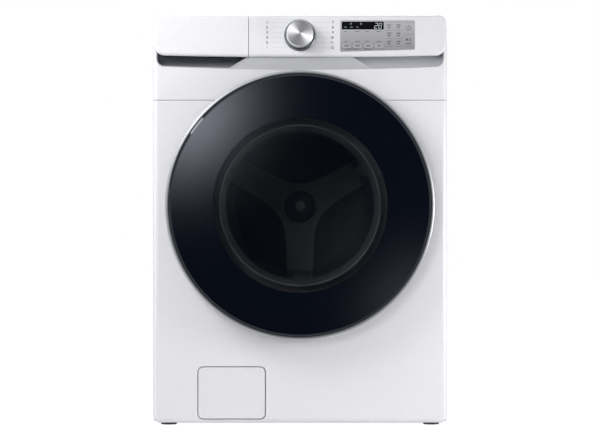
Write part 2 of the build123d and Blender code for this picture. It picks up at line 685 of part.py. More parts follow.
# Dispenser housing: the drawer slides in it; a spout at the bottom leads to the tub.
HOUSING_FRONT = FASCIA_BACK + EASE
HOUSING_BACK = TRAY_BACK + 14.0
HOUSING_LOW = TRAY_LOW - SLIDE - HOUSING_T
HOUSING_TOP = TRAY_TOP + SLIDE + HOUSING_T
HOUSING_CX = (TRAY_LEFT + TRAY_RIGHT) / 2
HOUSING_W = TRAY_RIGHT - TRAY_LEFT + 2 * (SLIDE + HOUSING_T)
SPOUT_X = -205.0
SPOUT_Y = -150.0
SPOUT_R = 22.0
SPOUT_L = 16.0
FLANGE_LEFT = -HALF_W + SHEET + EASE
FLANGE_RIGHT = DRAWER_EDGE_X
with BuildPart() as dispenser_housing:
    with BuildSketch(front(HOUSING_FRONT)):
        with Locations((HOUSING_CX, (HOUSING_LOW + HOUSING_TOP) / 2)):
            Rectangle(HOUSING_W, HOUSING_TOP - HOUSING_LOW)
    extrude(amount=-(HOUSING_BACK - HOUSING_FRONT))
    with BuildSketch(front(HOUSING_FRONT)):
        with Locations(((FLANGE_LEFT + FLANGE_RIGHT) / 2, (HOUSING_LOW + TOP_Z) / 2)):
            Rectangle(FLANGE_RIGHT - FLANGE_LEFT, TOP_Z - HOUSING_LOW - EASE)
    extrude(amount=-HOUSING_T)
    with BuildSketch(Plane.XY.offset(HOUSING_LOW)):
        with Locations((SPOUT_X, SPOUT_Y)):
            Circle(SPOUT_R)
    extrude(amount=-SPOUT_L)
    with BuildSketch(front(HOUSING_FRONT - 1)):
        with Locations((HOUSING_CX, (TRAY_LOW + TRAY_TOP) / 2)):
            Rectangle(TRAY_RIGHT - TRAY_LEFT + 2 * SLIDE, TRAY_TOP - TRAY_LOW + 2 * SLIDE)
    extrude(amount=-(HOUSING_BACK - HOUSING_FRONT - HOUSING_T + 1), mode=Mode.SUBTRACT)
    with BuildSketch(Plane.XY.offset(HOUSING_LOW - SPOUT_L)):
        with Locations((SPOUT_X, SPOUT_Y)):
            Circle(SPOUT_R - HOUSING_T)
    extrude(amount=SPOUT_L + 2 * HOUSING_T, mode=Mode.SUBTRACT)
    # water inlets at the back
    with BuildSketch(front(HOUSING_BACK + 12)):
        with Locations(*[(x, (TRAY_LOW + TRAY_TOP) / 2) for x in VALVE_X]):
            Circle(HOSE_BORE_R - EASE)
    extrude(amount=12)
    with BuildSketch(front(HOUSING_BACK + 13)):
        with Locations(*[(x, (TRAY_LOW + TRAY_TOP) / 2) for x in VALVE_X]):
            Circle(HOSE_BORE_R - EASE - HOUSING_T)
    extrude(amount=18, mode=Mode.SUBTRACT)
dispenser_housing.part.label = "dispenser_housing"
export_step(dispenser_housing.part, "parts/dispenser_housing.step")

# Handle band: a silver strip under the fascia with a shallow hollow at its right end. At its left end
# the drawer's finger pocket is a cup of its own, so the band is two solids.
BAND_FRONT = FRONT_Y + BAND_SET
POCKET_TOP = LIP_Z + LIP_RISE + 2.0
CUP_WALL = 3.0           # inner end wall of the finger pocket
CUP_JOINT = 0.6


def pocket_form(sign, depth):
    """A rounded hollow at one end of the band, with a slanting inner end."""
    height = POCKET_TOP - BAND_Z - POCKET_FLOOR
    with BuildPart() as form:
        with BuildSketch(side(0)):
            with Locations((BAND_FRONT - MOULD, POCKET_TOP)):
                Ellipse(depth + MOULD, height)
        extrude(amount=sign * BAND_HALF)
        with BuildSketch(front(BAND_FRONT + DEPTH / 2)):
            with BuildLine():
                Polyline(
                    (sign * POCKET_IN_LOW, POCKET_TOP - height), (sign * POCKET_IN_TOP, LIP_Z),
                    (sign * POCKET_IN_TOP, POCKET_TOP + height), (sign * WIDTH, POCKET_TOP + height),
                    (sign * WIDTH, POCKET_TOP - height), close=True
                )
            make_face()
        extrude(amount=DEPTH, mode=Mode.INTERSECT)
        land = band_outline(-POCKET_LAND).moved(Pos(0, BAND_FRONT - MOULD, 0))
        extrude(land, amount=-DEPTH, mode=Mode.INTERSECT)
    return form.part


def cup_joint():
    """The slit between the finger pocket's cup and the band, in line with the drawer's edge."""
    slope = atan2(LIP_Z - BAND_Z - POCKET_FLOOR, POCKET_IN_LOW - POCKET_IN_TOP)
    x = -(POCKET_IN_LOW + POCKET_IN_TOP) / 2 + CUP_WALL * sin(slope)
    z = (LIP_Z + BAND_Z + POCKET_FLOOR) / 2 - CUP_WALL * cos(slope)
    with BuildPart() as slit:
        with BuildSketch(front(BAND_FRONT + DEPTH / 2)):
            with Locations((x, z)):
                Rectangle(4 * (LIP_Z - BAND_Z), CUP_JOINT, rotation=degrees(slope))
        extrude(amount=DEPTH)
    return slit.part


with BuildPart() as handle_trim:
    extrude(band_outline(0.0).moved(Pos(0, BAND_FRONT, 0)), amount=-BAND_DEPTH)
    with BuildSketch(front(BAND_FRONT + BAND_DEPTH + 1)):
        with Locations((0, BAND_Z + BAND_RISE + MOULD + HEIGHT / 2)):
            Rectangle(2 * (POCKET_IN_TOP - MOULD), HEIGHT)
    extrude(amount=BAND_DEPTH + 1 - MOULD, mode=Mode.SUBTRACT)
    add(fascia_block(-EASE, -WIDTH, WIDTH), mode=Mode.SUBTRACT)
    add(pocket_form(-1, POCKET_DEPTH), mode=Mode.SUBTRACT)
    add(pocket_form(1, HOLLOW_DEPTH), mode=Mode.SUBTRACT)
    add(cup_joint(), mode=Mode.SUBTRACT)
handle_trim.part.label = "handle_trim"
export_step(handle_trim.part, "parts/handle_trim.step")

# Braces across the top of the cabinet: front, middle (it carries the springs) and rear.
BRACE_TOP = TOP_Z - EASE
BRACE_Y = (FASCIA_BACK + 24.0, SPRING_Y, REAR_Y - 40.0)
BRACE_HALF = HALF_W - SHEET
with BuildPart() as top_braces:
    for y in BRACE_Y:
        with BuildSketch(side(-BRACE_HALF)):
            with Locations((y, BRACE_TOP - BRACE_H / 2)):
                Rectangle(BRACE_W, BRACE_H)
            with Locations((y, BRACE_TOP - BRACE_H / 2 - 2 * SHEET)):
                Rectangle(BRACE_W - 4 * SHEET, BRACE_H, mode=Mode.SUBTRACT)
        extrude(amount=2 * BRACE_HALF)
    with BuildSketch(Plane.XY.offset(BRACE_TOP + SHEET)):
        with Locations(*[(sign * SPRING_X, SPRING_Y) for sign in SIDES]):
            Circle(STEM_HOLE_R)
    extrude(amount=-BRACE_H, mode=Mode.SUBTRACT)
top_braces.part.label = "top_braces"
export_step(top_braces.part, "parts/top_braces.step")


# ======== Door ========
# All door outlines are (y, radius) round the door axis.
RIM_Y = FRONT_Y - DOOR_PROUD + GLASS_DOME          # front of the glass at its rim
RING_LIP = 1.6
RING_BACK = FRONT_Y - 3.5
FRAME_Y = RIM_Y + 29.5                             # front of the inner frame's flange
FRAME_T = 3.0
FRAME_R = DOOR_R - 15.5
FRAME_WELL_R = DISH_R - 12.0                               # the part of the frame that fills the dish
FRAME_BACK = DISH_Y - 5.0
NOTCH_EASE = 2.5


KNUCKLE_R = 6.0
ARM_W = 8.0                                        # hinge arm from the panel to the knuckle
POST_W = 12.0                                      # blocks of the frame that hold the hinge pins
POST_H = 6.0


def hinge_notches():
    """Room for the cabinet's hinge knuckles and arms as the door swings round them."""
    with BuildPart() as notch:
        for sign in SIDES:
            low = AXIS_Z + sign * KNUCKLE_Z - KNUCKLE_H / 2 - NOTCH_EASE
            with BuildSketch(Plane.XY.offset(low)):
                with Locations((HINGE_X - 20, (HINGE_Y - KNUCKLE_R - NOTCH_EASE + FRONT_Y) / 2)):
                    Rectangle(70, FRONT_Y - HINGE_Y + KNUCKLE_R + NOTCH_EASE)
                with Locations((HINGE_X - ARM_W / 2 - 20, HINGE_Y)):
                    Rectangle(40, 2 * (KNUCKLE_R + NOTCH_EASE + ARM_W - 2))
            extrude(amount=KNUCKLE_H + 2 * NOTCH_EASE)
    return notch.part


def hinge_posts(grow):
    """Blocks above and below each knuckle, tied back to the frame's flange."""
    with BuildPart() as posts:
        for sign in SIDES:
            low = AXIS_Z + sign * KNUCKLE_Z - KNUCKLE_H / 2 - NOTCH_EASE - POST_H - grow
            with BuildSketch(Plane.XY.offset(low)):
                with Locations((HINGE_X + 2, HINGE_Y + 1)):
                    Rectangle(POST_W + 2 * grow, POST_W + 2 * grow)
                with Locations((HINGE_X + 14, (HINGE_Y + FRAME_Y) / 2)):
                    Rectangle(POST_W + 6 + 2 * grow, FRAME_Y - HINGE_Y + 2 * FRAME_T + 2 * grow)
            extrude(amount=KNUCKLE_H + 2 * (NOTCH_EASE + POST_H + grow))
    return posts.part


with BuildPart() as door_ring:
    add(turned(
        (RIM_Y - RING_LIP + 0.4, GLASS_R + 0.3), (RIM_Y - RING_LIP - 0.6, GLASS_R + 2.2),
        (RIM_Y - RING_LIP + 0.3, GLASS_R + 4.8), (RIM_Y + 0.4, DOOR_R - 1.0), (RIM_Y + 2.5, DOOR_R),
        (RIM_Y + 20, DOOR_R), (RING_BACK, DOOR_R - 12), (RING_BACK, FRAME_R + 0.2), (FRAME_Y, FRAME_R + 0.2),
        (RIM_Y + 20, GLASS_R - 2), (RIM_Y + GLASS_T + 2.5, GLASS_R - 2), (RIM_Y + GLASS_T + 2.5, GLASS_R - 8),
        (RIM_Y + GLASS_T + 0.1, GLASS_R - 8), (RIM_Y + GLASS_T + 0.1, GLASS_R + 0.3),
    ))
    add(hinge_notches(), mode=Mode.SUBTRACT)
    add(hinge_posts(EASE), mode=Mode.SUBTRACT)
door_ring.part.label = "door_ring"
export_step(door_ring.part, "parts/door_ring.step")

# Dark outer glass: a shallow dome with a bevelled rim.
with BuildPart() as door_glass:
    rise = GLASS_DOME - BEVEL_RISE
    flat_r = GLASS_R - BEVEL
    dome_r = (flat_r ** 2 + rise ** 2) / (2 * rise)
    half_rise = dome_r - sqrt(dome_r ** 2 - (flat_r / 2) ** 2)
    apex = RIM_Y - GLASS_DOME
    with BuildSketch(DRUM_SIDE):
        with BuildLine():
            ThreePointArc((apex, 0), (apex + half_rise, flat_r / 2), (apex + rise, flat_r))
            Polyline((apex + rise, flat_r), (RIM_Y, GLASS_R), (RIM_Y + GLASS_T, GLASS_R),
                (RIM_Y + GLASS_T, flat_r))
            ThreePointArc(
                (RIM_Y + GLASS_T, flat_r), (apex + GLASS_T + BEVEL_RISE + half_rise, flat_r / 2),
                (apex + GLASS_T + BEVEL_RISE, 0)
            )
            Line((apex + GLASS_T + BEVEL_RISE, 0), (apex, 0))
        make_face()
    revolve(axis=DRUM_AXIS)
door_glass.part.label = "door_glass"
export_step(door_glass.part, "parts/door_glass.step")

# Inner frame: it carries the ring, the glass bowl and the hook, and fills the dish.
BOWL_SEAT_R = 186.0
BOWL_FLANGE_T = 4.0
BOWL_SEAT_Y = FRAME_Y + 2.0
HOOK_T = 4.0
HOOK_H = 26.0
with BuildPart() as door_inner_frame:
    add(turned(
        (FRAME_Y, FRAME_WELL_R), (FRAME_Y, FRAME_R), (RING_BACK, FRAME_R), (RING_BACK, FRAME_R - FRAME_T),
        (FRAME_Y + FRAME_T, FRAME_R - FRAME_T), (FRAME_Y + FRAME_T, FRAME_WELL_R + FRAME_T),
        (FRAME_BACK, FRAME_WELL_R + FRAME_T), (FRAME_BACK, BOWL_SEAT_R), (BOWL_SEAT_Y, BOWL_SEAT_R),
        (BOWL_SEAT_Y, BOWL_SEAT_R + FRAME_T), (FRAME_BACK - FRAME_T, BOWL_SEAT_R + FRAME_T),
        (FRAME_BACK - FRAME_T, FRAME_WELL_R),
    ))
    # seat for the door hook
    with BuildSketch(front(FRAME_BACK)):
        with Locations((HOOK_X, AXIS_Z)):
            Rectangle(HOOK_T + 10, HOOK_H + 12)
    extrude(amount=8)
    with BuildSketch(front(FRAME_BACK + 1)):
        with Locations((HOOK_X, AXIS_Z)):
            Rectangle(HOOK_T, HOOK_H)
    extrude(amount=7, mode=Mode.SUBTRACT)
    add(hinge_posts(0.0))
    add(hinge_notches(), mode=Mode.SUBTRACT)
    with BuildSketch(Plane.XY.offset(AXIS_Z)):
        with Locations((HINGE_X, HINGE_Y)):
            Circle(PIN_R + 0.05)
    extrude(amount=2 * KNUCKLE_Z, both=True, mode=Mode.SUBTRACT)
door_inner_frame.part.label = "door_inner_frame"
export_step(door_inner_frame.part, "parts/door_inner_frame.step")

# Hinge bracket: a plate on the front panel, two arms with knuckles, and the riveted pins.
PLATE_T = 2.0
with BuildPart() as hinge_bracket:
    with BuildSketch(front(FRONT_Y)):
        with Locations((HINGE_X + 5, AXIS_Z)):
            Rectangle(ARM_W + 12, 2 * KNUCKLE_Z + KNUCKLE_H)
    extrude(amount=PLATE_T)
    for sign in SIDES:
        with BuildSketch(Plane.XY.offset(AXIS_Z + sign * KNUCKLE_Z - KNUCKLE_H / 2)):
            with Locations((HINGE_X, HINGE_Y)):
                Circle(KNUCKLE_R)
            with Locations((HINGE_X, (HINGE_Y + FRONT_Y) / 2)):
                Rectangle(ARM_W, FRONT_Y - HINGE_Y)
        extrude(amount=KNUCKLE_H)
        with BuildSketch(Plane.XY.offset(AXIS_Z + sign * KNUCKLE_Z)):
            with Locations((HINGE_X, HINGE_Y)):
                Circle(PIN_R)
        extrude(amount=KNUCKLE_H / 2 + NOTCH_EASE + POST_H, both=True)
hinge_bracket.part.label = "hinge_bracket"
export_step(hinge_bracket.part, "parts/hinge_bracket.step")

# Glass bowl: it reaches into the drum's mouth and keeps the washing off the door.
BOWL_TIP = BOWL_SEAT_Y + BOWL_REACH
BOWL_CONE_R = BOWL_SEAT_R - 3.0
with BuildPart() as door_bowl:
    with BuildSketch(DRUM_SIDE) as bowl_outline:
        with BuildLine():
            Polyline(
                (BOWL_SEAT_Y, BOWL_R), (BOWL_SEAT_Y, BOWL_CONE_R), (BOWL_TIP - 14, BOWL_TIP_R),
                (BOWL_TIP - 4, BOWL_TIP_R - 11), (BOWL_TIP, BOWL_TIP_R - 26), (BOWL_TIP, 0),
                (BOWL_TIP - BOWL_T, 0),
                (BOWL_TIP - BOWL_T, BOWL_TIP_R - 27), (BOWL_TIP - 7, BOWL_TIP_R - 13.5),
                (BOWL_TIP - 15.5, BOWL_TIP_R - 4), (BOWL_SEAT_Y, BOWL_CONE_R - BOWL_T - 3),
                (BOWL_SEAT_Y - BOWL_FLANGE_T, BOWL_CONE_R - 1), (BOWL_SEAT_Y - BOWL_FLANGE_T, BOWL_R),
                close=True
            )
        make_face()
    revolve(axis=DRUM_AXIS)
door_bowl.part.label = "door_bowl"
export_step(door_bowl.part, "parts/door_bowl.step")

# Door hook, let into its seat in the frame; its nose points to the middle of the door.
HOOK_REACH = 16.0
with BuildPart() as door_hook:
    with BuildSketch(Plane.XY.offset(AXIS_Z - HOOK_H / 2)):
        with BuildLine():
            Polyline(
                (HOOK_X - HOOK_T / 2, FRAME_BACK - 6), (HOOK_X + HOOK_T / 2, FRAME_BACK - 6),
                (HOOK_X + HOOK_T / 2, FRAME_BACK + HOOK_REACH),
                (HOOK_X - HOOK_T / 2 - 1, FRAME_BACK + HOOK_REACH),
                (HOOK_X - HOOK_T / 2 - 4, FRAME_BACK + HOOK_REACH - 5),
                (HOOK_X - HOOK_T / 2, FRAME_BACK + HOOK_REACH - 6),
                close=True
            )
        make_face()
    extrude(amount=HOOK_H)
door_hook.part.label = "door_hook"
export_step(door_hook.part, "parts/door_hook.step")

# Door lock behind the slot of the dish, with a pocket for the hook.
LOCK_W = 34.0
LOCK_H = 74.0
LOCK_D = 26.0
with BuildPart() as door_lock:
    with BuildSketch(front(DISH_Y + SHEET)):
        with Locations((HOOK_X - 4, AXIS_Z)):
            Rectangle(LOCK_W, LOCK_H)
    extrude(amount=-LOCK_D)
    with BuildSketch(front(DISH_Y + SHEET)):
        with Locations((HOOK_X + 1 - HOOK_T / 2, AXIS_Z)):
            Rectangle(HOOK_T + 14, HOOK_H + 6)
    extrude(amount=-(HOOK_REACH + 4), mode=Mode.SUBTRACT)
door_lock.part.label = "door_lock"
export_step(door_lock.part, "parts/door_lock.step")

# Rubber bellows between the front panel's mouth and the tub's neck, with the lip that seals on the bowl.
GASKET_T = 3.0
LIP_SEAL_Y = DISH_Y + 5.0
CONE_SLOPE = (BOWL_CONE_R - BOWL_TIP_R) / (BOWL_TIP - 14 - BOWL_SEAT_Y)
LIP_SEAL_R = BOWL_CONE_R - (LIP_SEAL_Y - BOWL_SEAT_Y) * CONE_SLOPE + 1.6
NECK_FRONT = TUB_FRONT - 12.0
LIP_END = DISH_Y + MOUTH_LIP
FOLD_R = MOUTH_R + 14.0
with BuildPart() as door_gasket:
    add(turned(
        # outside, from the front lip round the panel's mouth and over the fold to the tub's neck
        (DISH_Y - 2.5, MOUTH_R - EASE), (LIP_END + EASE, MOUTH_R - EASE),
        (LIP_END + EASE, MOUTH_R + SHEET + EASE), (LIP_END - 5.5, MOUTH_R + SHEET + EASE),
        (LIP_END - 5.5, MOUTH_R + SHEET + EASE + GASKET_T),
        (LIP_END + 3.5, MOUTH_R + SHEET + EASE + GASKET_T),
        (LIP_END + 7.5, FOLD_R), (NECK_FRONT - 7, FOLD_R), (NECK_FRONT - 2, TUB_NECK_R + EASE + GASKET_T),
        (TUB_FRONT - 1, TUB_NECK_R + EASE + GASKET_T), (TUB_FRONT - 1, TUB_NECK_R + EASE),
        # inside, back to the front with the lip that touches the bowl
        (NECK_FRONT - 3.5, TUB_NECK_R + EASE), (NECK_FRONT - 8.5, FOLD_R - GASKET_T),
        (LIP_END + 9.5, FOLD_R - GASKET_T), (LIP_END + 6, MOUTH_R + 1.5), (LIP_END + 6, MOUTH_R - 4.5),
        (LIP_SEAL_Y + 3, MOUTH_R - 5.5), (LIP_SEAL_Y + 1.5, LIP_SEAL_R), (LIP_SEAL_Y - 1, LIP_SEAL_R),
        (DISH_Y - 2.5, MOUTH_R - 5),
    ))
door_gasket.part.label = "door_gasket"
export_step(door_gasket.part, "parts/door_gasket.step")


# ======== Tub ========
FLANGE_T = 7.0
WELL_W = 110.0           # sump well below the rear half
WELL_L = 190.0
WELL_R = TUB_R + 30.0    # bottom of the well below the axis
WELL_T = 3.0
HUB_TUBE_R = 48.0
HUB_FRONT = TUB_REAR - 4.0
HUB_BACK = TUB_REAR + 60.0
RIB_COUNT = 12
RIB_H = 12.0
DAMPER_FRONT_Y = TUB_FRONT + 100.0
DAMPER_REAR_Y = TUB_SEAM + 170.0
DAMPER_PAD_Z = 268.0     # upper end of the dampers
DAMPER_FOOT_Z = 64.0     # lower end
DAMPER_PAD = 30.0
LUG_Z = 784.0            # spring lugs on the tub
LUG_LOW = AXIS_Z + TUB_R - 87.0
LUG_T = 8.0
LUG_W = 34.0
FILL_Z = 800.0           # top of the tub's fill spout
BEARING_Y = HUB_FRONT + 14.0
BEARING_REAR_Y = HUB_BACK - BEARING_REAR_W
SEAL_R = 32.0
SEAL_W = 10.0
WELL_BACK = TUB_SEAM + 30.0 + WELL_L
SUMP_Y = TUB_SEAM + 90.0
SUMP_R = 22.0
SUMP_NECK = 22.0
HEATER_Z = AXIS_Z - TUB_R - 17.5
HEATER_MOUTH_W = 62.0
HEATER_MOUTH_H = 20.0
HEATER_LOOP = 40.0
BACK_Y = DRUM_REAR - 4.0 # plane of the drum's back


def damper_plane(sign, y, end):
    """Plane across a damper's line at its upper (1) or lower (0) end; its normal runs up the line."""
    foot = Vector(sign * DAMPER_LOW_X, y, DAMPER_FOOT_Z)
    head = Vector(sign * DAMPER_TOP_X, y, DAMPER_PAD_Z)
    return Plane(origin=head if end else foot, x_dir=(0, 1, 0), z_dir=(head - foot).normalized())


def damper_lugs(y):
    """Pads on the tub for the heads of the two dampers at this Y, each on a rib down from the wall."""
    with BuildPart() as lugs:
        for sign in SIDES:
            with BuildSketch(damper_plane(sign, y, 1)):
                Rectangle(DAMPER_PAD, DAMPER_PAD)
            extrude(amount=52.0)
        with BuildSketch(drum_face(y + DAMPER_PAD)):
            Circle(TUB_R - TUB_T / 2)
        extrude(amount=2 * DAMPER_PAD, mode=Mode.SUBTRACT)
    return lugs.part


with BuildPart() as tub_front:
    add(turned(
        (NECK_FRONT, TUB_NECK_R - TUB_T), (NECK_FRONT, TUB_NECK_R), (TUB_FRONT, TUB_NECK_R),
        (TUB_FRONT, TUB_R - 8), (TUB_FRONT + 8, TUB_R), (TUB_SEAM - FLANGE_T, TUB_R),
        (TUB_SEAM - FLANGE_T, TUB_R + TUB_FLANGE), (TUB_SEAM, TUB_R + TUB_FLANGE), (TUB_SEAM, TUB_IN_R),
        (TUB_FRONT + 9, TUB_IN_R), (TUB_FRONT + TUB_T, TUB_IN_R - 7), (TUB_FRONT + TUB_T, TUB_NECK_R - TUB_T),
    ))
    add(damper_lugs(DAMPER_FRONT_Y))
    # fill spout under the dispenser
    with BuildSketch(Plane.XY.offset(FILL_Z)):
        with Locations((SPOUT_X, SPOUT_Y)):
            Circle(SPOUT_R)
    extrude(amount=-90)
    with BuildSketch(drum_face(TUB_SEAM)):
        Circle(TUB_IN_R)
    extrude(amount=TUB_SPLIT - 12, mode=Mode.SUBTRACT)
    with BuildSketch(Plane.XY.offset(FILL_Z + 1)):
        with Locations((SPOUT_X, SPOUT_Y)):
            Circle(SPOUT_R - 2 * TUB_T / 3)
    extrude(amount=-91, mode=Mode.SUBTRACT)
tub_front.part.label = "tub_front"
export_step(tub_front.part, "parts/tub_front.step")

with BuildPart() as tub_rear:
    add(turned(
        (TUB_SEAM, TUB_IN_R), (TUB_SEAM, TUB_R + TUB_FLANGE), (TUB_SEAM + FLANGE_T, TUB_R + TUB_FLANGE),
        (TUB_SEAM + FLANGE_T, TUB_R), (TUB_REAR - 10, TUB_R), (TUB_REAR, TUB_R - 10), (TUB_REAR, HUB_TUBE_R),
        (HUB_BACK, HUB_TUBE_R), (HUB_BACK, SHAFT_REAR_R + 6), (HUB_FRONT, SHAFT_REAR_R + 6),
        (HUB_FRONT, TUB_IN_R - 9), (TUB_REAR - 11, TUB_IN_R),
    ))
    # ribs across the back
    with BuildSketch(drum_face(TUB_REAR)):
        with PolarLocations((HUB_TUBE_R + TUB_R - 12) / 2, RIB_COUNT):
            Rectangle(TUB_R - HUB_TUBE_R - 14, TUB_T)
    extrude(amount=-RIB_H)
    add(damper_lugs(DAMPER_REAR_Y))
    # lugs for the springs
    for sign in SIDES:
        with BuildSketch(front(SPRING_Y + LUG_W / 2)):
            with BuildLine():
                Polyline(
                    (sign * (SPRING_X - LUG_W / 2), LUG_LOW), (sign * (SPRING_X + LUG_W / 2), LUG_LOW - 15),
                    (sign * (SPRING_X + LUG_W / 2), LUG_Z), (sign * (SPRING_X - LUG_W / 2), LUG_Z), close=True
                )
            make_face()
        extrude(amount=LUG_T)
        with BuildSketch(Plane.XY.offset(LUG_Z)):
            with Locations((sign * SPRING_X, SPRING_Y)):
                Rectangle(LUG_W, LUG_W)
                Circle(STEM_HOLE_R, mode=Mode.SUBTRACT)
        extrude(amount=-4.0)
    # sump well
    with BuildSketch(Plane.XY.offset(AXIS_Z - WELL_R)):
        with Locations((0, TUB_SEAM + 30 + WELL_L / 2)):
            Rectangle(WELL_W, WELL_L)
    extrude(amount=60)
    with BuildSketch(Plane.XY.offset(AXIS_Z - WELL_R + WELL_T)):
        with Locations((0, TUB_SEAM + 30 + WELL_L / 2)):
            Rectangle(WELL_W - 2 * WELL_T, WELL_L - 2 * WELL_T)
    extrude(amount=80, mode=Mode.SUBTRACT)
    with BuildSketch(drum_face(TUB_SEAM)):
        Circle(TUB_IN_R)
    extrude(amount=-(TUB_L - TUB_SPLIT - 12), mode=Mode.SUBTRACT)
    # bearing bores and the bore for the shaft seal
    for y, radius, length in (
        (BEARING_Y, BEARING_R, BEARING_W), (BEARING_REAR_Y, BEARING_REAR_R, BEARING_REAR_W),
        (HUB_FRONT, SEAL_R, SEAL_W),
    ):
        with BuildSketch(drum_face(y)):
            Circle(radius)
        extrude(amount=-length, mode=Mode.SUBTRACT)
    # outlet to the pump, and the mouth for the heater
    with BuildSketch(Plane.XY.offset(AXIS_Z - WELL_R)):
        with Locations((0, SUMP_Y)):
            Circle(SUMP_R)
    extrude(amount=-SUMP_NECK)
    with BuildSketch(Plane.XY.offset(AXIS_Z - WELL_R - SUMP_NECK)):
        with Locations((0, SUMP_Y)):
            Circle(SUMP_R - TUB_T)
    extrude(amount=SUMP_NECK + 2 * WELL_T, mode=Mode.SUBTRACT)
    with BuildSketch(front(WELL_BACK + 1)):
        with Locations((0, HEATER_Z)):
            RectangleRounded(HEATER_MOUTH_W, HEATER_MOUTH_H, HEATER_MOUTH_H / 2 - 0.1)
    extrude(amount=3 * WELL_T, mode=Mode.SUBTRACT)
tub_rear.part.label = "tub_rear"
export_step(tub_rear.part, "parts/tub_rear.step")

# Ball bearings of the drum shaft and the lip seal ahead of them.
with BuildPart() as bearings:
    for y, bore, radius, length in (
        (BEARING_Y, SHAFT_R, BEARING_R, BEARING_W),
        (BEARING_REAR_Y, SHAFT_REAR_R, BEARING_REAR_R, BEARING_REAR_W),
    ):
        with BuildSketch(drum_face(y)):
            Circle(radius)
            Circle(bore + 0.05, mode=Mode.SUBTRACT)
        extrude(amount=-length)
bearings.part.label = "bearings"
export_step(bearings.part, "parts/bearings.step")

with BuildPart() as shaft_seal:
    with BuildSketch(drum_face(HUB_FRONT)):
        Circle(SEAL_R)
        Circle(SHAFT_R + 0.05, mode=Mode.SUBTRACT)
    extrude(amount=-SEAL_W)
shaft_seal.part.label = "shaft_seal"
export_step(shaft_seal.part, "parts/shaft_seal.step")

# Heater: a plate that closes the well's mouth and a long loop of tube along the well.
HEATER_TUBE_R = 4.0
with BuildPart() as heater:
    with BuildSketch(front(WELL_BACK)):
        with Locations((0, HEATER_Z)):
            RectangleRounded(HEATER_MOUTH_W + 12, HEATER_MOUTH_H + 12, (HEATER_MOUTH_H + 11) / 2)
    extrude(amount=-3.0)
    with BuildLine() as loop:
        FilletPolyline(
            (-HEATER_LOOP / 2, WELL_BACK + 16, HEATER_Z),
            (-HEATER_LOOP / 2, WELL_BACK - WELL_L + 22, HEATER_Z),
            (HEATER_LOOP / 2, WELL_BACK - WELL_L + 22, HEATER_Z), (HEATER_LOOP / 2, WELL_BACK + 16, HEATER_Z),
            radius=HEATER_LOOP / 2 - 0.5
        )
    with BuildSketch(Plane(origin=loop.line @ 0, z_dir=loop.line % 0)):
        Circle(HEATER_TUBE_R)
    sweep(path=loop.line)
heater.part.label = "heater"
export_step(heater.part, "parts/heater.step")

# Cast counterweights: one block above the mouth of the tub and one below it.
WEIGHT_T = 34.0
WEIGHT_IN_R = TUB_NECK_R + 16.0
WEIGHT_OUT_R = TUB_R - 6.0
WEIGHT_HALF = 62.0
with BuildPart() as counterweights:
    for turn in (90, 270):
        with BuildSketch(drum_face(TUB_FRONT)) as block:
            Circle(WEIGHT_OUT_R)
            Circle(WEIGHT_IN_R, mode=Mode.SUBTRACT)
            with BuildLine():
                Polyline(
                    (0, 0), (DEPTH * cos(radians(turn - WEIGHT_HALF)),
                    DEPTH * sin(radians(turn - WEIGHT_HALF))),
                    (DEPTH * cos(radians(turn + WEIGHT_HALF)),
                    DEPTH * sin(radians(turn + WEIGHT_HALF))), close=True
                )
            make_face(mode=Mode.INTERSECT)
        extrude(amount=WEIGHT_T)
    chamfer(counterweights.faces().filter_by(Axis.Y).sort_by(Axis.Y)[0:2].edges(), 4.0)
counterweights.part.label = "counterweights"
export_step(counterweights.part, "parts/counterweights.step")

# Stator of the direct drive, bolted to the back of the tub.
TEETH = 36
TOOTH_H = 22.0
TOOTH_W = 7.0
STATOR_Y = TUB_REAR + RIB_H + 8.0
with BuildPart() as stator:
    with BuildSketch(drum_face(STATOR_Y)):
        Circle(STATOR_R - TOOTH_H)
        Circle(STATOR_BORE_R, mode=Mode.SUBTRACT)
        with PolarLocations(STATOR_R - TOOTH_H / 2 - 1, TEETH):
            Rectangle(TOOTH_H + 2, TOOTH_W)
    extrude(amount=-STATOR_W)
    with BuildSketch(drum_face(STATOR_Y)):
        with PolarLocations(STATOR_BORE_R + 10, 4, start_angle=45):
            Circle(7.0)
    extrude(amount=STATOR_Y - TUB_REAR)
stator.part.label = "stator"
export_step(stator.part, "parts/stator.step")


# ======== Drum ========
with BuildPart() as drum_shell:
    add(turned(
        (DRUM_FRONT, DRUM_MOUTH_R), (DRUM_FRONT - 4, DRUM_MOUTH_R + 2), (DRUM_FRONT - 4, DRUM_MOUTH_R + 5),
        (DRUM_FRONT, DRUM_MOUTH_R + 6), (DRUM_FRONT + 6, DRUM_R - 26), (DRUM_FRONT + 26, DRUM_R),
        (DRUM_REAR, DRUM_R), (DRUM_REAR, DRUM_R - DRUM_T), (DRUM_FRONT + 26.5, DRUM_R - DRUM_T),
        (DRUM_FRONT + 7, DRUM_R - 27.2), (DRUM_FRONT + DRUM_T, DRUM_MOUTH_R + 5),
    ))
drum_shell.part.label = "drum_shell"
export_step(drum_shell.part, "parts/drum_shell.step")


def pressed_arms(inset):
    """Front view of the drum back's three arms and middle, drawn in by inset."""
    with BuildSketch(drum_face(BACK_Y)) as arms:
        Circle(HUB_R - inset)
        for angle in ARM_ANGLES:
            with BuildLine(Plane.XY.rotated((0, 0, angle))):
                near = ARM_HUB_W / 2 - inset
                far = ARM_RIM_W / 2 - inset
                end = DRUM_R - 12 - inset
                Polyline((0, -near), (end, -far), (end, far), (0, near), close=True)
            make_face()
    return arms.sketch


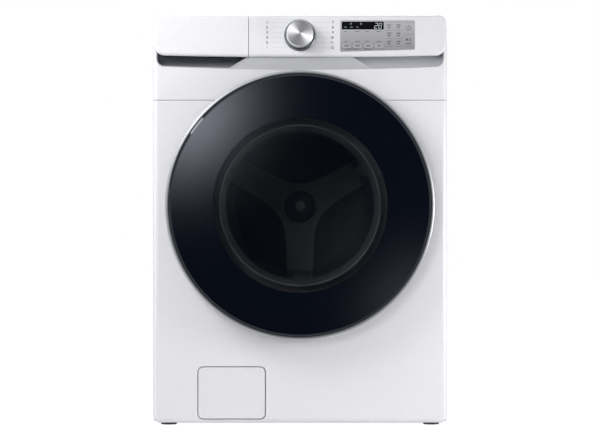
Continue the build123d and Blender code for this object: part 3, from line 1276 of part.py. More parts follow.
# Drum back: a pressed disc with three raised arms, and rings round the hub.
BACK_T = 1.2
with BuildPart() as drum_back:
    with BuildSketch(drum_face(BACK_Y)):
        Circle(DRUM_R - DRUM_T - 0.02)
    extrude(amount=-BACK_T)
    extrude(pressed_arms(0.0), amount=ARM_H)
    add(turned(
        (BACK_Y - ARM_H, HUB_RING_R), (BACK_Y - ARM_H - 5, HUB_RING_R - 1),
        (BACK_Y - ARM_H - 5, HUB_RING_R - 5),
        (BACK_Y - ARM_H, HUB_RING_R - 9),
    ))
    extrude(pressed_arms(BACK_T).moved(Pos(0, BACK_T + 0.1, 0)), amount=ARM_H, mode=Mode.SUBTRACT)
    with BuildSketch(drum_face(BACK_Y - ARM_H - 1)):
        Circle(SHAFT_R + EASE)
    extrude(amount=-ARM_H, mode=Mode.SUBTRACT)
drum_back.part.label = "drum_back"
export_step(drum_back.part, "parts/drum_back.step")

# Cast spider behind the drum's back, and its shaft.
SPIDER_FRONT = BACK_Y + BACK_T
SPIDER_T = 14.0
SPIDER_HUB_R = 40.0
SPIDER_HUB_L = 20.0
SPIDER_HUB_W = 56.0
SPIDER_RIM_W = 34.0
with BuildPart() as drum_spider:
    with BuildSketch(drum_face(SPIDER_FRONT)):
        Circle(SPIDER_HUB_R)
        for angle in ARM_ANGLES:
            with BuildLine(Plane.XY.rotated((0, 0, angle))):
                end = DRUM_R - 14
                Polyline(
                    (0, -SPIDER_HUB_W / 2), (end, -SPIDER_RIM_W / 2), (end, SPIDER_RIM_W / 2),
                    (0, SPIDER_HUB_W / 2),
                    close=True
                )
            make_face()
    extrude(amount=-SPIDER_T)
    with BuildSketch(drum_face(SPIDER_FRONT)):
        Circle(SPIDER_HUB_R)
    extrude(amount=-SPIDER_HUB_L)
    with BuildSketch(drum_face(SPIDER_FRONT - 1)):
        Circle(SHAFT_R)
    extrude(amount=-SPIDER_HUB_L - 2, mode=Mode.SUBTRACT)
drum_spider.part.label = "drum_spider"
export_step(drum_spider.part, "parts/drum_spider.step")

ROTOR_DISC = HUB_BACK + 6.0
ROTOR_HUB_R = 26.0
NUT_R = 14.0
NUT_H = 10.0
SHAFT_FRONT = BACK_Y - ARM_H - 3.0
with BuildPart() as drum_shaft:
    add(turned(
        (SHAFT_FRONT, 0), (SHAFT_FRONT, SHAFT_R - 3), (SHAFT_FRONT + 3, SHAFT_R),
        (BEARING_REAR_Y - 4, SHAFT_R), (BEARING_REAR_Y - 4, SHAFT_REAR_R),
        (ROTOR_DISC + 8, SHAFT_REAR_R), (ROTOR_DISC + 8, NUT_R), (ROTOR_DISC + 8 + NUT_H, NUT_R),
        (ROTOR_DISC + 8 + NUT_H, SHAFT_REAR_R - 4), (ROTOR_DISC + 12 + NUT_H, SHAFT_REAR_R - 4),
        (ROTOR_DISC + 12 + NUT_H, 0),
    ))
drum_shaft.part.label = "drum_shaft"
export_step(drum_shaft.part, "parts/drum_shaft.step")

# Three hollow lifters on the drum's wall.
LIFTER_FOOT_R = sqrt((DRUM_R - DRUM_T) ** 2 - (LIFTER_W / 2) ** 2) - 0.02
LIFTER_END = BACK_Y - ARM_H - 8.0
LIFTER_WALL = 2.5


def lifter_form(inset):
    """One lifter pointing down from the wall at the right of the axis, drawn in by inset."""
    ridge = DRUM_R - LIFTER_H + inset
    with BuildPart() as form:
        with BuildSketch(drum_face(LIFTER_END - inset)) as section:
            with BuildLine():
                Polyline(
                    (LIFTER_FOOT_R, -LIFTER_W / 2 + inset), (LIFTER_FOOT_R, LIFTER_W / 2 - inset),
                    (ridge, LIFTER_RIDGE_W / 2 - inset), (ridge, -LIFTER_RIDGE_W / 2 + inset), close=True
                )
            make_face()
            fillet(section.vertices().group_by(Axis.X)[0], 10.0 - inset)
        extrude(amount=LIFTER_L - 2 * inset)
    return form.part


with BuildPart() as drum_lifters:
    for angle in ARM_ANGLES:
        add(lifter_form(0.0).rotate(DRUM_AXIS, -angle))
        add(lifter_form(LIFTER_WALL).rotate(DRUM_AXIS, -angle), mode=Mode.SUBTRACT)
drum_lifters.part.label = "drum_lifters"
export_step(drum_lifters.part, "parts/drum_lifters.step")

# Rotor cup with its magnets, round the stator; the disc has slots for air.
MAGNET_R = STATOR_R + AIR_GAP
ROTOR_R = MAGNET_T + ROTOR_T + MAGNET_R
ROTOR_SLOTS = 12
ROTOR_SLOT_L = 60.0
ROTOR_SLOT_W = 12.0
with BuildPart() as rotor:
    add(turned(
        (ROTOR_DISC, SHAFT_REAR_R), (ROTOR_DISC, ROTOR_R - ROTOR_T), (STATOR_Y + STATOR_W, ROTOR_R - ROTOR_T),
        (STATOR_Y + STATOR_W, MAGNET_R), (STATOR_Y, MAGNET_R), (STATOR_Y, ROTOR_R),
        (ROTOR_DISC + ROTOR_T, ROTOR_R), (ROTOR_DISC + ROTOR_T, ROTOR_HUB_R), (ROTOR_DISC + 8, ROTOR_HUB_R),
        (ROTOR_DISC + 8, SHAFT_REAR_R),
    ))
    with BuildSketch(drum_face(ROTOR_DISC - 1)):
        with PolarLocations((ROTOR_HUB_R + ROTOR_R) / 2 + 4, ROTOR_SLOTS):
            Rectangle(ROTOR_SLOT_L, ROTOR_SLOT_W)
    extrude(amount=-ROTOR_T - 2, mode=Mode.SUBTRACT)
rotor.part.label = "rotor"
export_step(rotor.part, "parts/rotor.step")


# ======== Suspension ========
HOOK_BALL_R = 6.0
HOOK_SEAT = sqrt((HOOK_BALL_R + EASE / 2) ** 2 - STEM_HOLE_R ** 2)     # ball resting in its hole
COIL_LOW = LUG_Z + 22.0
COIL_HIGH = BRACE_TOP - BRACE_H - 12.0
with BuildPart() as suspension_springs:
    for sign in SIDES:
        with BuildLine():
            coil = Helix(
                pitch=(COIL_HIGH - COIL_LOW) / SPRING_TURNS, height=COIL_HIGH - COIL_LOW, radius=SPRING_R,
                center=(sign * SPRING_X, SPRING_Y, COIL_LOW)
            )
        with BuildSketch(Plane(origin=coil @ 0, z_dir=coil % 0)):
            Circle(WIRE_R)
        sweep(path=coil)
        for z, reach, head in (
            (COIL_LOW, LUG_Z - 4 - COIL_LOW - 2, LUG_Z - 4 - HOOK_SEAT),
            (COIL_HIGH, BRACE_TOP + 2 - COIL_HIGH, BRACE_TOP + HOOK_SEAT),
        ):
            with BuildSketch(Plane.XY.offset(z)):
                with Locations((sign * SPRING_X, SPRING_Y)):
                    Circle(WIRE_R)
            extrude(amount=reach)
            with BuildSketch(side(sign * SPRING_X)):
                with Locations((SPRING_Y, z)):
                    Circle(WIRE_R - 0.1)
            extrude(amount=SPRING_R)
            with Locations((sign * SPRING_X, SPRING_Y, head)):
                Sphere(HOOK_BALL_R)
suspension_springs.part.label = "suspension_springs"
export_step(suspension_springs.part, "parts/suspension_springs.step")

# Friction dampers: tubes on the base, rods on the tub.
DAMPER_GAP = 40.0        # rod end above the tube's seat
DAMPER_FLOOR = 10.0
DAMPER_PISTON_R = 9.0
ROD_CAP_R = 13.0
ROD_CAP_H = 6.0
with BuildPart() as damper_tubes:
    for sign in SIDES:
        for y in (DAMPER_FRONT_Y, DAMPER_REAR_Y):
            seat = damper_plane(sign, y, 0)
            with BuildSketch(seat):
                Circle(DAMPER_R)
            extrude(amount=DAMPER_TUBE_L)
            with BuildSketch(seat.offset(DAMPER_FLOOR)):
                Circle(DAMPER_BORE_R)
            extrude(amount=DAMPER_TUBE_L, mode=Mode.SUBTRACT)
damper_tubes.part.label = "damper_tubes"
export_step(damper_tubes.part, "parts/damper_tubes.step")

DAMPER_L = hypot(DAMPER_LOW_X - DAMPER_TOP_X, DAMPER_PAD_Z - DAMPER_FOOT_Z)
with BuildPart() as damper_rods:
    for sign in SIDES:
        for y in (DAMPER_FRONT_Y, DAMPER_REAR_Y):
            top = damper_plane(sign, y, 1)
            with BuildSketch(top):
                Circle(DAMPER_ROD_R)
            extrude(amount=-(DAMPER_L - DAMPER_GAP))
            with BuildSketch(top):
                Circle(ROD_CAP_R)
            extrude(amount=-ROD_CAP_H)
            with BuildSketch(top.offset(-(DAMPER_L - DAMPER_GAP))):
                Circle(DAMPER_PISTON_R)
            extrude(amount=16)
damper_rods.part.label = "damper_rods"
export_step(damper_rods.part, "parts/damper_rods.step")


# ======== Base and feet ========
PUMP_R = 30.0
PUMP_L = 112.0
PUMP_Y = FRONT_Y + SERVICE_DEPTH + 90.0
PUMP_IN_Y = FRONT_Y + SERVICE_DEPTH + 56.0
PUMP_OUT_Y = FRONT_Y + SERVICE_DEPTH + 86.0
BASE_FRONT = SIDE_Y + 2 * SHEET + EASE
BASE_BACK = REAR_Y - SHEET - EASE
BASE_HALF = HALF_W - SHEET - EASE
FOOT_Y = (FRONT_Y + FOOT_FRONT_IN, REAR_Y - FOOT_FRONT_IN)
FOOT_PLACES = [(sign * FOOT_X, y) for y in FOOT_Y for sign in SIDES]
BOSS_R = 14.0
SADDLE_W = 30.0
NOTCH_SIDE = 22.0        # room in the base round the service pocket
NOTCH_BACK = 10.6
SERVICE_BACK = FRONT_Y + SERVICE_DEPTH
with BuildPart() as base_frame:
    with BuildSketch(Plane.XY.offset(BASE_LOW)):
        with Locations((0, (BASE_FRONT + BASE_BACK) / 2)):
            Rectangle(2 * BASE_HALF, BASE_BACK - BASE_FRONT)
    extrude(amount=BASE_TOP - BASE_LOW)
    with BuildSketch(Plane.XY.offset(BASE_LOW - 1)):
        with Locations((0, (BASE_FRONT + BASE_BACK) / 2)):
            Rectangle(2 * (BASE_HALF - BASE_T), BASE_BACK - BASE_FRONT - 2 * BASE_T)
    extrude(amount=BASE_TOP - BASE_LOW - BASE_T + 1, mode=Mode.SUBTRACT)
    # foot bosses and stiffening ribs
    with BuildSketch(Plane.XY.offset(BASE_LOW)):
        with Locations(*FOOT_PLACES):
            Circle(BOSS_R)
        for x in (-FOOT_X / 2, 0, FOOT_X / 2):
            with Locations((x, (BASE_FRONT + BASE_BACK) / 2)):
                Rectangle(BASE_T, BASE_BACK - BASE_FRONT)
        for y in FOOT_Y:
            with Locations((0, y)):
                Rectangle(2 * BASE_HALF, BASE_T)
    extrude(amount=BASE_TOP - BASE_LOW)
    # seats of the dampers
    for sign in SIDES:
        for y in (DAMPER_FRONT_Y, DAMPER_REAR_Y):
            with BuildSketch(damper_plane(sign, y, 0)):
                Rectangle(2 * DAMPER_R + 6, 2 * DAMPER_R + 6)
            extrude(amount=-34)
    # notch for the service pocket
    with BuildSketch(Plane.XY.offset(BASE_LOW - 1)):
        with Locations((COVER_X, BASE_FRONT)):
            Rectangle(COVER_W + 2 * (COVER_GAP + NOTCH_SIDE), 2 * (SERVICE_BACK + NOTCH_BACK - BASE_FRONT))
    extrude(amount=BASE_TOP, mode=Mode.SUBTRACT)
    # saddle under the pump
    with BuildSketch(Plane.XY.offset(BASE_TOP)):
        with Locations((COVER_X, PUMP_Y)):
            Rectangle(SADDLE_W, 60)
    extrude(amount=FILTER_Z - PUMP_R - BASE_TOP)
    with BuildSketch(Plane.XY.offset(BASE_LOW)):
        Rectangle(2 * WIDTH, 2 * DEPTH)
    extrude(amount=-100, mode=Mode.SUBTRACT)
    with BuildSketch(Plane.XY.offset(BASE_LOW)):
        with Locations(*FOOT_PLACES):
            Circle(STEM_R + 0.05)
    extrude(amount=BASE_TOP, mode=Mode.SUBTRACT)
base_frame.part.label = "base_frame"
export_step(base_frame.part, "parts/base_frame.step")

FOOT_NAMES = ("foot_front_left", "foot_front_right", "foot_rear_left", "foot_rear_right")
HEX_R = 10.0
for name, place in zip(FOOT_NAMES, FOOT_PLACES):
    with BuildPart() as foot:
        with BuildSketch(Plane.XY):
            with Locations(place):
                Circle(FOOT_R)
        extrude(amount=FOOT_PAD_H)
        fillet(foot.edges().filter_by(GeomType.CIRCLE).sort_by(Axis.Z)[-1], 2.5)
        fillet(foot.edges().filter_by(GeomType.CIRCLE).sort_by(Axis.Z)[0], 1.0)
        with BuildSketch(Plane.XY.offset(FOOT_PAD_H)):
            with Locations(place):
                RegularPolygon(HEX_R, 6)
        extrude(amount=BASE_LOW - EASE - FOOT_PAD_H)
        with BuildSketch(Plane.XY.offset(FOOT_PAD_H)):
            with Locations(place):
                Circle(STEM_R)
        extrude(amount=STEM_L)
    foot.part.label = name
    export_step(foot.part, f"parts/{name}.step")


# ======== Service door, filter and pump ========
COVER_Z = COVER_LOW + COVER_H / 2
COVER_AXIS_Y = FRONT_Y + 5.0
COVER_AXIS_Z = COVER_LOW + 10.5
COVER_PIN_R = 1.6
COVER_EAR = 6.0
with BuildPart() as service_pocket:
    with BuildSketch(front(FRONT_Y + SHEET)):
        with Locations((COVER_X, COVER_Z)):
            RectangleRounded(
                COVER_W + 2 * (COVER_GAP + POCKET_T), COVER_H + 2 * (COVER_GAP + POCKET_T),
                COVER_R + COVER_GAP + POCKET_T
            )
    extrude(amount=-(SERVICE_DEPTH - SHEET))
    with BuildSketch(front(FRONT_Y + SHEET)):
        with Locations((COVER_X, COVER_Z + 10)):
            RectangleRounded(COVER_W + 2 * (COVER_GAP + 10), COVER_H, 4)
    extrude(amount=-POCKET_T)
    with BuildSketch(front(FRONT_Y)):
        with Locations((COVER_X, COVER_Z)):
            RectangleRounded(COVER_W + 2 * COVER_GAP, COVER_H + 2 * COVER_GAP, COVER_R + COVER_GAP)
    extrude(amount=-(SERVICE_DEPTH - POCKET_T), mode=Mode.SUBTRACT)
    # clear of the panel's rolled bottom edge
    with BuildSketch(front(FRONT_Y)):
        with Locations((COVER_X, FOOT_GAP + EDGE_R / 2)):
            Rectangle(WIDTH, EDGE_R)
    extrude(amount=-(EDGE_R / 3 + 1), mode=Mode.SUBTRACT)
    with BuildSketch(front(SERVICE_BACK + 1)):
        with Locations((COVER_X, FILTER_Z)):
            Circle(FILTER_R + 1.0)
    extrude(amount=POCKET_T + 2, mode=Mode.SUBTRACT)
    with BuildSketch(side(COVER_X)):
        with Locations((COVER_AXIS_Y, COVER_AXIS_Z)):
            Circle(COVER_PIN_R + 0.08)
    extrude(amount=COVER_W, both=True, mode=Mode.SUBTRACT)
service_pocket.part.label = "service_pocket"
export_step(service_pocket.part, "parts/service_pocket.step")

with BuildPart() as filter_cover:
    with BuildSketch(front(FRONT_Y)):
        with Locations((COVER_X, COVER_Z)):
            RectangleRounded(COVER_W, COVER_H, COVER_R)
    extrude(amount=-COVER_T)
    fillet(filter_cover.faces().sort_by(Axis.Y)[0].edges(), 0.8)
    for sign in SIDES:
        with BuildSketch(side(COVER_X + sign * (COVER_W / 2 - 0.5))):
            with Locations((COVER_AXIS_Y - 1.2, COVER_AXIS_Z)):
                Rectangle(5.0, 2 * COVER_PIN_R + 1)
        extrude(amount=-sign * COVER_EAR)
        with BuildSketch(side(COVER_X + sign * (COVER_W / 2 - COVER_EAR))):
            with Locations((COVER_AXIS_Y, COVER_AXIS_Z)):
                Circle(COVER_PIN_R)
        extrude(amount=sign * (COVER_EAR + COVER_GAP + POCKET_T))
filter_cover.part.label = "filter_cover"
export_step(filter_cover.part, "parts/filter_cover.step")

# Debris filter: it screws into the pump from the front.
FILTER_FRONT = FRONT_Y + 15.0
FILTER_CAP_R = 28.0
FILTER_CAP_T = 9.0
FILTER_SLOTS = 8
with BuildPart() as pump_filter:
    with BuildSketch(front(FILTER_FRONT)):
        with Locations((COVER_X, FILTER_Z)):
            Circle(FILTER_CAP_R)
    extrude(amount=-FILTER_CAP_T)
    with BuildSketch(front(FILTER_FRONT)):
        with Locations((COVER_X, FILTER_Z)):
            SlotOverall(2 * FILTER_CAP_R - 8, 10)
    extrude(amount=8.0)
    with BuildSketch(front(FILTER_FRONT + FILTER_CAP_T)):
        with Locations((COVER_X, FILTER_Z)):
            Circle(FILTER_R)
    extrude(amount=-FILTER_L)
    with BuildSketch(front(FILTER_FRONT + FILTER_CAP_T + 26)):
        with Locations((COVER_X, FILTER_Z)):
            Circle(FILTER_R - 3)
    extrude(amount=-FILTER_L, mode=Mode.SUBTRACT)
    with BuildSketch(front(FILTER_FRONT + FILTER_CAP_T + 30)):
        with Locations((COVER_X, FILTER_Z)):
            with PolarLocations(FILTER_R, FILTER_SLOTS):
                Rectangle(12, 7)
    extrude(amount=-(FILTER_L - 36), mode=Mode.SUBTRACT)
pump_filter.part.label = "pump_filter"
export_step(pump_filter.part, "parts/pump_filter.step")

with BuildPart() as drain_pump:
    with BuildSketch(front(SERVICE_BACK + EASE)):
        with Locations((COVER_X, FILTER_Z)):
            Circle(PUMP_R)
    extrude(amount=-PUMP_L)
    with BuildSketch(front(SERVICE_BACK + EASE + PUMP_L)):
        with Locations((COVER_X, FILTER_Z)):
            Circle(PUMP_R - 3)
    extrude(amount=-70)
    with BuildSketch(front(SERVICE_BACK + EASE - 1)):
        with Locations((COVER_X, FILTER_Z)):
            Circle(FILTER_R + 0.08)
    extrude(amount=-(PUMP_L - 6), mode=Mode.SUBTRACT)
    # ports: inlet at the right, outlet at the left
    for reach, y, radius, wall in (
        (PUMP_R + 20, PUMP_IN_Y, SUMP_R - 5, 2.0), (-(PUMP_R + 16), PUMP_OUT_Y, DRAIN_BORE_R - 0.2, 2.0),
    ):
        with BuildSketch(side(COVER_X)):
            with Locations((y, FILTER_Z)):
                Circle(radius)
        extrude(amount=reach)
        with BuildSketch(side(COVER_X)):
            with Locations((y, FILTER_Z)):
                Circle(radius - wall)
        extrude(amount=reach, mode=Mode.SUBTRACT)
    with BuildSketch(front(SERVICE_BACK + EASE - 1)):
        with Locations((COVER_X, FILTER_Z)):
            Circle(FILTER_R + 0.08)
    extrude(amount=-(PUMP_L - 6), mode=Mode.SUBTRACT)
drain_pump.part.label = "drain_pump"
export_step(drain_pump.part, "parts/drain_pump.step")


# ======== Hoses that stay inside the cabinet ========
def tube(points, radii, outer, bore):
    """A hose along straight runs joined by tangent arcs."""
    with BuildPart() as hose:
        with BuildLine() as route:
            FilletPolyline(*points, radius=radii)
        with BuildSketch(Plane(origin=route.line @ 0, z_dir=route.line % 0)):
            Circle(outer)
            Circle(bore, mode=Mode.SUBTRACT)
        sweep(path=route.line)
    return hose.part


DRAIN_BACK_Y = REAR_Y - 56.0
SPIGOT_END = REAR_Y + REAR_STANDOFF
SPIGOT_L = REAR_STANDOFF - 0.5
SPIGOT_R = DRAIN_R + 1.0
drain_start = COVER_X - PUMP_R - 2
with BuildPart() as drain_hose:
    add(tube(
        [
            (drain_start, PUMP_OUT_Y, FILTER_Z), (DRAIN_X, PUMP_OUT_Y, FILTER_Z),
            (DRAIN_X, DRAIN_BACK_Y, FILTER_Z),
            (DRAIN_X, DRAIN_BACK_Y, DRAIN_Z), (DRAIN_X, SPIGOT_END, DRAIN_Z),
        ],
        [50.0, 60.0, 33.0], DRAIN_R, DRAIN_BORE_R
    ))
    # cuff outside the back, for the outer drain hose
    with BuildSketch(front(SPIGOT_END)):
        with Locations((DRAIN_X, DRAIN_Z)):
            Circle(SPIGOT_R)
            Circle(DRAIN_BORE_R, mode=Mode.SUBTRACT)
    extrude(amount=SPIGOT_L)
drain_hose.part.label = "drain_hose"
export_step(drain_hose.part, "parts/drain_hose.step")

with BuildPart() as sump_hose:
    add(tube(
        [
            (0, SUMP_Y, AXIS_Z - WELL_R - EASE - 2), (0, SUMP_Y, FILTER_Z), (0, PUMP_IN_Y, FILTER_Z),
            (COVER_X + PUMP_R + 2, PUMP_IN_Y, FILTER_Z),
        ],
        [45.0, 58.0], SUMP_R + 3.3, SUMP_R + 0.3
    ))
sump_hose.part.label = "sump_hose"
export_step(sump_hose.part, "parts/sump_hose.step")

# Fill bellows between the dispenser's spout and the tub.
BELLOWS_LOW = FILL_Z - 14.0
BELLOWS_HIGH = HOUSING_LOW - 1.5
BELLOWS_FOLDS = 4
with BuildPart() as fill_hose:
    with BuildSketch(Plane(origin=(SPOUT_X, SPOUT_Y, 0), x_dir=(1, 0, 0), z_dir=(0, -1, 0))):
        with BuildLine():
            low = FILL_Z + 2
            high = HOUSING_LOW - SPOUT_L - 2
            step = (high - low) / BELLOWS_FOLDS
            outside = [(SPOUT_R + 3, BELLOWS_LOW)]
            inside = []
            for fold in range(BELLOWS_FOLDS):
                outside.append((SPOUT_R + 3, low + fold * step))
                outside.append((SPOUT_R + 8, low + (fold + 0.5) * step))
                inside.append((SPOUT_R + EASE, low + fold * step))
                inside.append((SPOUT_R + 5, low + (fold + 0.5) * step))
            outside += [(SPOUT_R + 3, high), (SPOUT_R + 3, BELLOWS_HIGH), (SPOUT_R + EASE, BELLOWS_HIGH)]
            inside.append((SPOUT_R + EASE, high))
            Polyline(*outside, *reversed(inside), (SPOUT_R + EASE, BELLOWS_LOW), close=True)
        make_face()
    revolve(axis=Axis((SPOUT_X, SPOUT_Y, 0), (0, 0, 1)))
fill_hose.part.label = "fill_hose"
export_step(fill_hose.part, "parts/fill_hose.step")

# Inlet valves: threaded stubs through the back, coils inside, stubs for the hoses in front.
VALVE_W = 34.0
VALVE_D = 42.0
VALVE_H = 40.0
VALVE_BACK = REAR_Y - SHEET - EASE
STUB_L = 14.0
with BuildPart() as inlet_valves:
    for x in VALVE_X:
        with BuildSketch(front(VALVE_BACK)):
            with Locations((x, VALVE_Z)):
                RectangleRounded(VALVE_W, VALVE_H, 4)
        extrude(amount=VALVE_D)
        with BuildSketch(front(SPIGOT_END)):
            with Locations((x, VALVE_Z)):
                Circle(THREAD_R - 0.6)
        extrude(amount=SPIGOT_END - VALVE_BACK)
        with BuildSketch(front(SPIGOT_END)):
            with Locations((x, VALVE_Z)):
                Circle(THREAD_R)
        extrude(amount=SPIGOT_L)
        with BuildSketch(front(VALVE_BACK - VALVE_D)):
            with Locations((x, VALVE_Z)):
                Circle(HOSE_BORE_R - EASE)
        extrude(amount=STUB_L)
        with BuildSketch(Plane.XY.offset(VALVE_Z - VALVE_H / 2)):
            with Locations((x, VALVE_BACK - VALVE_D / 2)):
                Circle(13.0)
        extrude(amount=-20)
        with BuildSketch(front(SPIGOT_END + 1)):
            with Locations((x, VALVE_Z)):
                Circle(THREAD_R - 3.5)
        extrude(amount=24, mode=Mode.SUBTRACT)
inlet_valves.part.label = "inlet_valves"
export_step(inlet_valves.part, "parts/inlet_valves.step")

HOSE_SAG = 16.0
HOSE_BEND = 200.0
hose_back = VALVE_BACK - VALVE_D - 1
hose_front = HOUSING_BACK + 1
hose_run = hose_back - hose_front
with BuildPart() as inlet_hoses:
    for x in VALVE_X:
        add(tube(
            [
                (x, hose_back, VALVE_Z), (x, hose_back - 0.22 * hose_run, VALVE_Z),
                (x, (hose_back + hose_front) / 2, VALVE_Z - HOSE_SAG),
                (x, hose_front + 0.22 * hose_run, VALVE_Z),
                (x, hose_front, VALVE_Z),
            ],
            [HOSE_BEND, 1.3 * HOSE_BEND, HOSE_BEND], HOSE_R, HOSE_BORE_R
        ))
inlet_hoses.part.label = "inlet_hoses"
export_step(inlet_hoses.part, "parts/inlet_hoses.step")

# Gland for the mains lead.
with BuildPart() as cord_gland:
    with BuildSketch(front(REAR_Y + 12)):
        with Locations((GLAND_X, GLAND_Z)):
            Circle(GLAND_R - 1)
    extrude(amount=24)
    with BuildSketch(front(REAR_Y + 3)):
        with Locations((GLAND_X, GLAND_Z)):
            Circle(GLAND_R + 4)
    extrude(amount=3)
    with BuildSketch(front(REAR_Y + 13)):
        with Locations((GLAND_X, GLAND_Z)):
            Circle(CORD_HOLE_R)
    extrude(amount=30, mode=Mode.SUBTRACT)
cord_gland.part.label = "cord_gland"
export_step(cord_gland.part, "parts/cord_gland.step")

with BuildPart() as cabinet_screws:
    screw_seat = REAR_Y + SHEET + EASE
    with BuildSketch(drum_face(screw_seat)):
        with PolarLocations(ACCESS_R + COVER_LAP / 2, ACCESS_SCREWS):
            Circle(SCREW_HEAD_R)
    extrude(amount=-SCREW_HEAD_H)
    with BuildSketch(drum_face(screw_seat)):
        with PolarLocations(ACCESS_R + COVER_LAP / 2, ACCESS_SCREWS):
            Circle(SCREW_R)
    extrude(amount=SCREW_L)
cabinet_screws.part.label = "cabinet_screws"
export_step(cabinet_screws.part, "parts/cabinet_screws.step")
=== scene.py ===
# %% [markdown]
# # A front load washing machine, dressed for a studio view
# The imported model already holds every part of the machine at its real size: folded steel walls, a leaning fascia,
# a glass door on a hinge, a drum on its shaft. This file gives each part a finish such as it has in real life, and
# adds what only the eye needs: figures round the dial, the lit display, marks on the keys.
# Everything is in metres. +Z is up, the door looks towards -Y, and +X is to the right.

import bpy
from math import atan2, cos, pi, radians, sin, sqrt, tan
from mathutils import Matrix, Vector


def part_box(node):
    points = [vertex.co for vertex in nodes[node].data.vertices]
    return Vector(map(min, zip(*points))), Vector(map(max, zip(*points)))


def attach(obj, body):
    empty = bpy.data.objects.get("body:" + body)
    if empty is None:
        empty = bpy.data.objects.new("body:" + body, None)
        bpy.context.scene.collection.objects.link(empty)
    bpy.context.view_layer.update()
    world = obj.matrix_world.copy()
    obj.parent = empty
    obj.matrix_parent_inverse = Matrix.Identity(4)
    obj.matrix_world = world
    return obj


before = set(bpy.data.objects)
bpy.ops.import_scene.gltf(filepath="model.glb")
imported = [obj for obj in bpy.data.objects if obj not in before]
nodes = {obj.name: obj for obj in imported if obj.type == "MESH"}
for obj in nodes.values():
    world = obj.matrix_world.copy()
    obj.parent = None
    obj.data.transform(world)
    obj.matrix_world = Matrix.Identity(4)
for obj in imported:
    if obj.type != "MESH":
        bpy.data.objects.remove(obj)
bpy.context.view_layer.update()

# %% [markdown]
# ## Camera
# An appliance in a catalogue is seen level and from far away, so that its front stays a true rectangle. The camera
# stands in front of the middle of the machine, at half its height, with a long lens. The lens is worked out from
# how wide the view is at the front of the machine.

# %% Camera
FRONT_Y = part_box("front_panel_lower")[0].y
VIEW_WIDTH = 1.3986          # width of the view at the plane of the front
VIEW_HEIGHT_Z = 0.4816       # height of the lens above the floor
CAMERA_DISTANCE = 5.2
SENSOR = 36.0                # millimetres
CLIP_END = 60

bpy.ops.object.select_all(action="DESELECT")
bpy.ops.object.camera_add(location=(0, FRONT_Y - CAMERA_DISTANCE, VIEW_HEIGHT_Z), rotation=(pi / 2, 0, 0))
camera = bpy.context.object
camera.name = "camera"
camera.data.sensor_width = SENSOR
camera.data.lens = SENSOR * CAMERA_DISTANCE / VIEW_WIDTH
camera.data.clip_end = CLIP_END
bpy.context.scene.camera = camera
bpy.context.scene.view_settings.view_transform = "Standard"
print("lens", round(camera.data.lens, 1), "mm")

# %% [markdown]
# ## One function for nodes, one for colours
# A material is a small network. `add_node` puts one node in it, gives it its settings, and fills its sockets with
# values or with links from other nodes. Colours are written as the sRGB hex values that a colour card gives, and
# `colour` turns them into the linear light that the renderer works in.

# %% Helpers for materials


def colour(code, alpha=1.0):
    """Linear colour from an sRGB hex value such as F2F1F6."""
    channels = [int(code[place:place + 2], 16) / 255 for place in (0, 2, 4)]
    return (*[c / 12.92 if c <= 0.04045 else ((c + 0.055) / 1.055) ** 2.4 for c in channels], alpha)


def add_node(tree, kind, inputs=None, **settings):
    """One node: settings are its properties, inputs its sockets by name or number, as values or links."""
    made = tree.nodes.new(kind)
    for name, value in settings.items():
        setattr(made, name, value)
    for socket, value in (inputs or {}).items():
        if isinstance(value, bpy.types.NodeSocket):
            tree.links.new(value, made.inputs[socket])
        else:
            made.inputs[socket].default_value = value
    return made


def new_material(name, base, **sockets):
    """A material with one principled shader. Sockets are given by name, with _ for a space."""
    made = bpy.data.materials.new(name)
    made.use_nodes = True
    tree = made.node_tree
    shader = tree.nodes["Principled BSDF"]
    shader.inputs["Base Color"].default_value = colour(base)
    for socket, value in sockets.items():
        shader.inputs[socket.replace("_", " ")].default_value = value
    made.diffuse_color = colour(base)
    return made, tree, shader


def place_in(tree):
    """The point on the piece, in metres in the machine's own frame."""
    return add_node(tree, "ShaderNodeTexCoord").outputs["Object"]


print("colour F0F0F4 is", [round(value, 3) for value in colour("F0F0F4")])

# %% [markdown]
# ## Studio
# The light comes from the walls of a white studio. Straight ahead of the door hangs a black flag, so that the door
# glass stays dark, and two soft windows of light stand in that dark part: a strong one up to the left and a weak
# one down to the right. They are what shows as the soft sheen on the glass. The world does all of this by
# direction. The camera sees a plain white backdrop instead, and so do metal and glass wherever they look past the
# flag. Behind the machine both the walls and that reflected backdrop are dimmer, which draws the machine's rounded
# edges as thin grey lines against the paper.

# %% World light
WALL_LIGHT = 0.38
BEHIND_LIGHT = 0.55          # share of the wall light that comes from behind the machine
BEHIND_GLOSS = 0.35          # and of the backdrop, where it is only seen in a shiny edge
FLAG_INNER = 26.0            # degrees from straight ahead where the flag starts to give way to the wall
FLAG_OUTER = 46.0
FLAG_LIGHT = 0.012
DIM_START = -0.1             # cosine of the angle from straight ahead where the walls start to dim
DIM_END = -0.7
WINDOWS = (                  # off straight ahead, round it from the right, width (in degrees), and strength
    (27.7, 140, 10.2, 7.0),
    (28.0, -40, 8.5, 1.1),
)


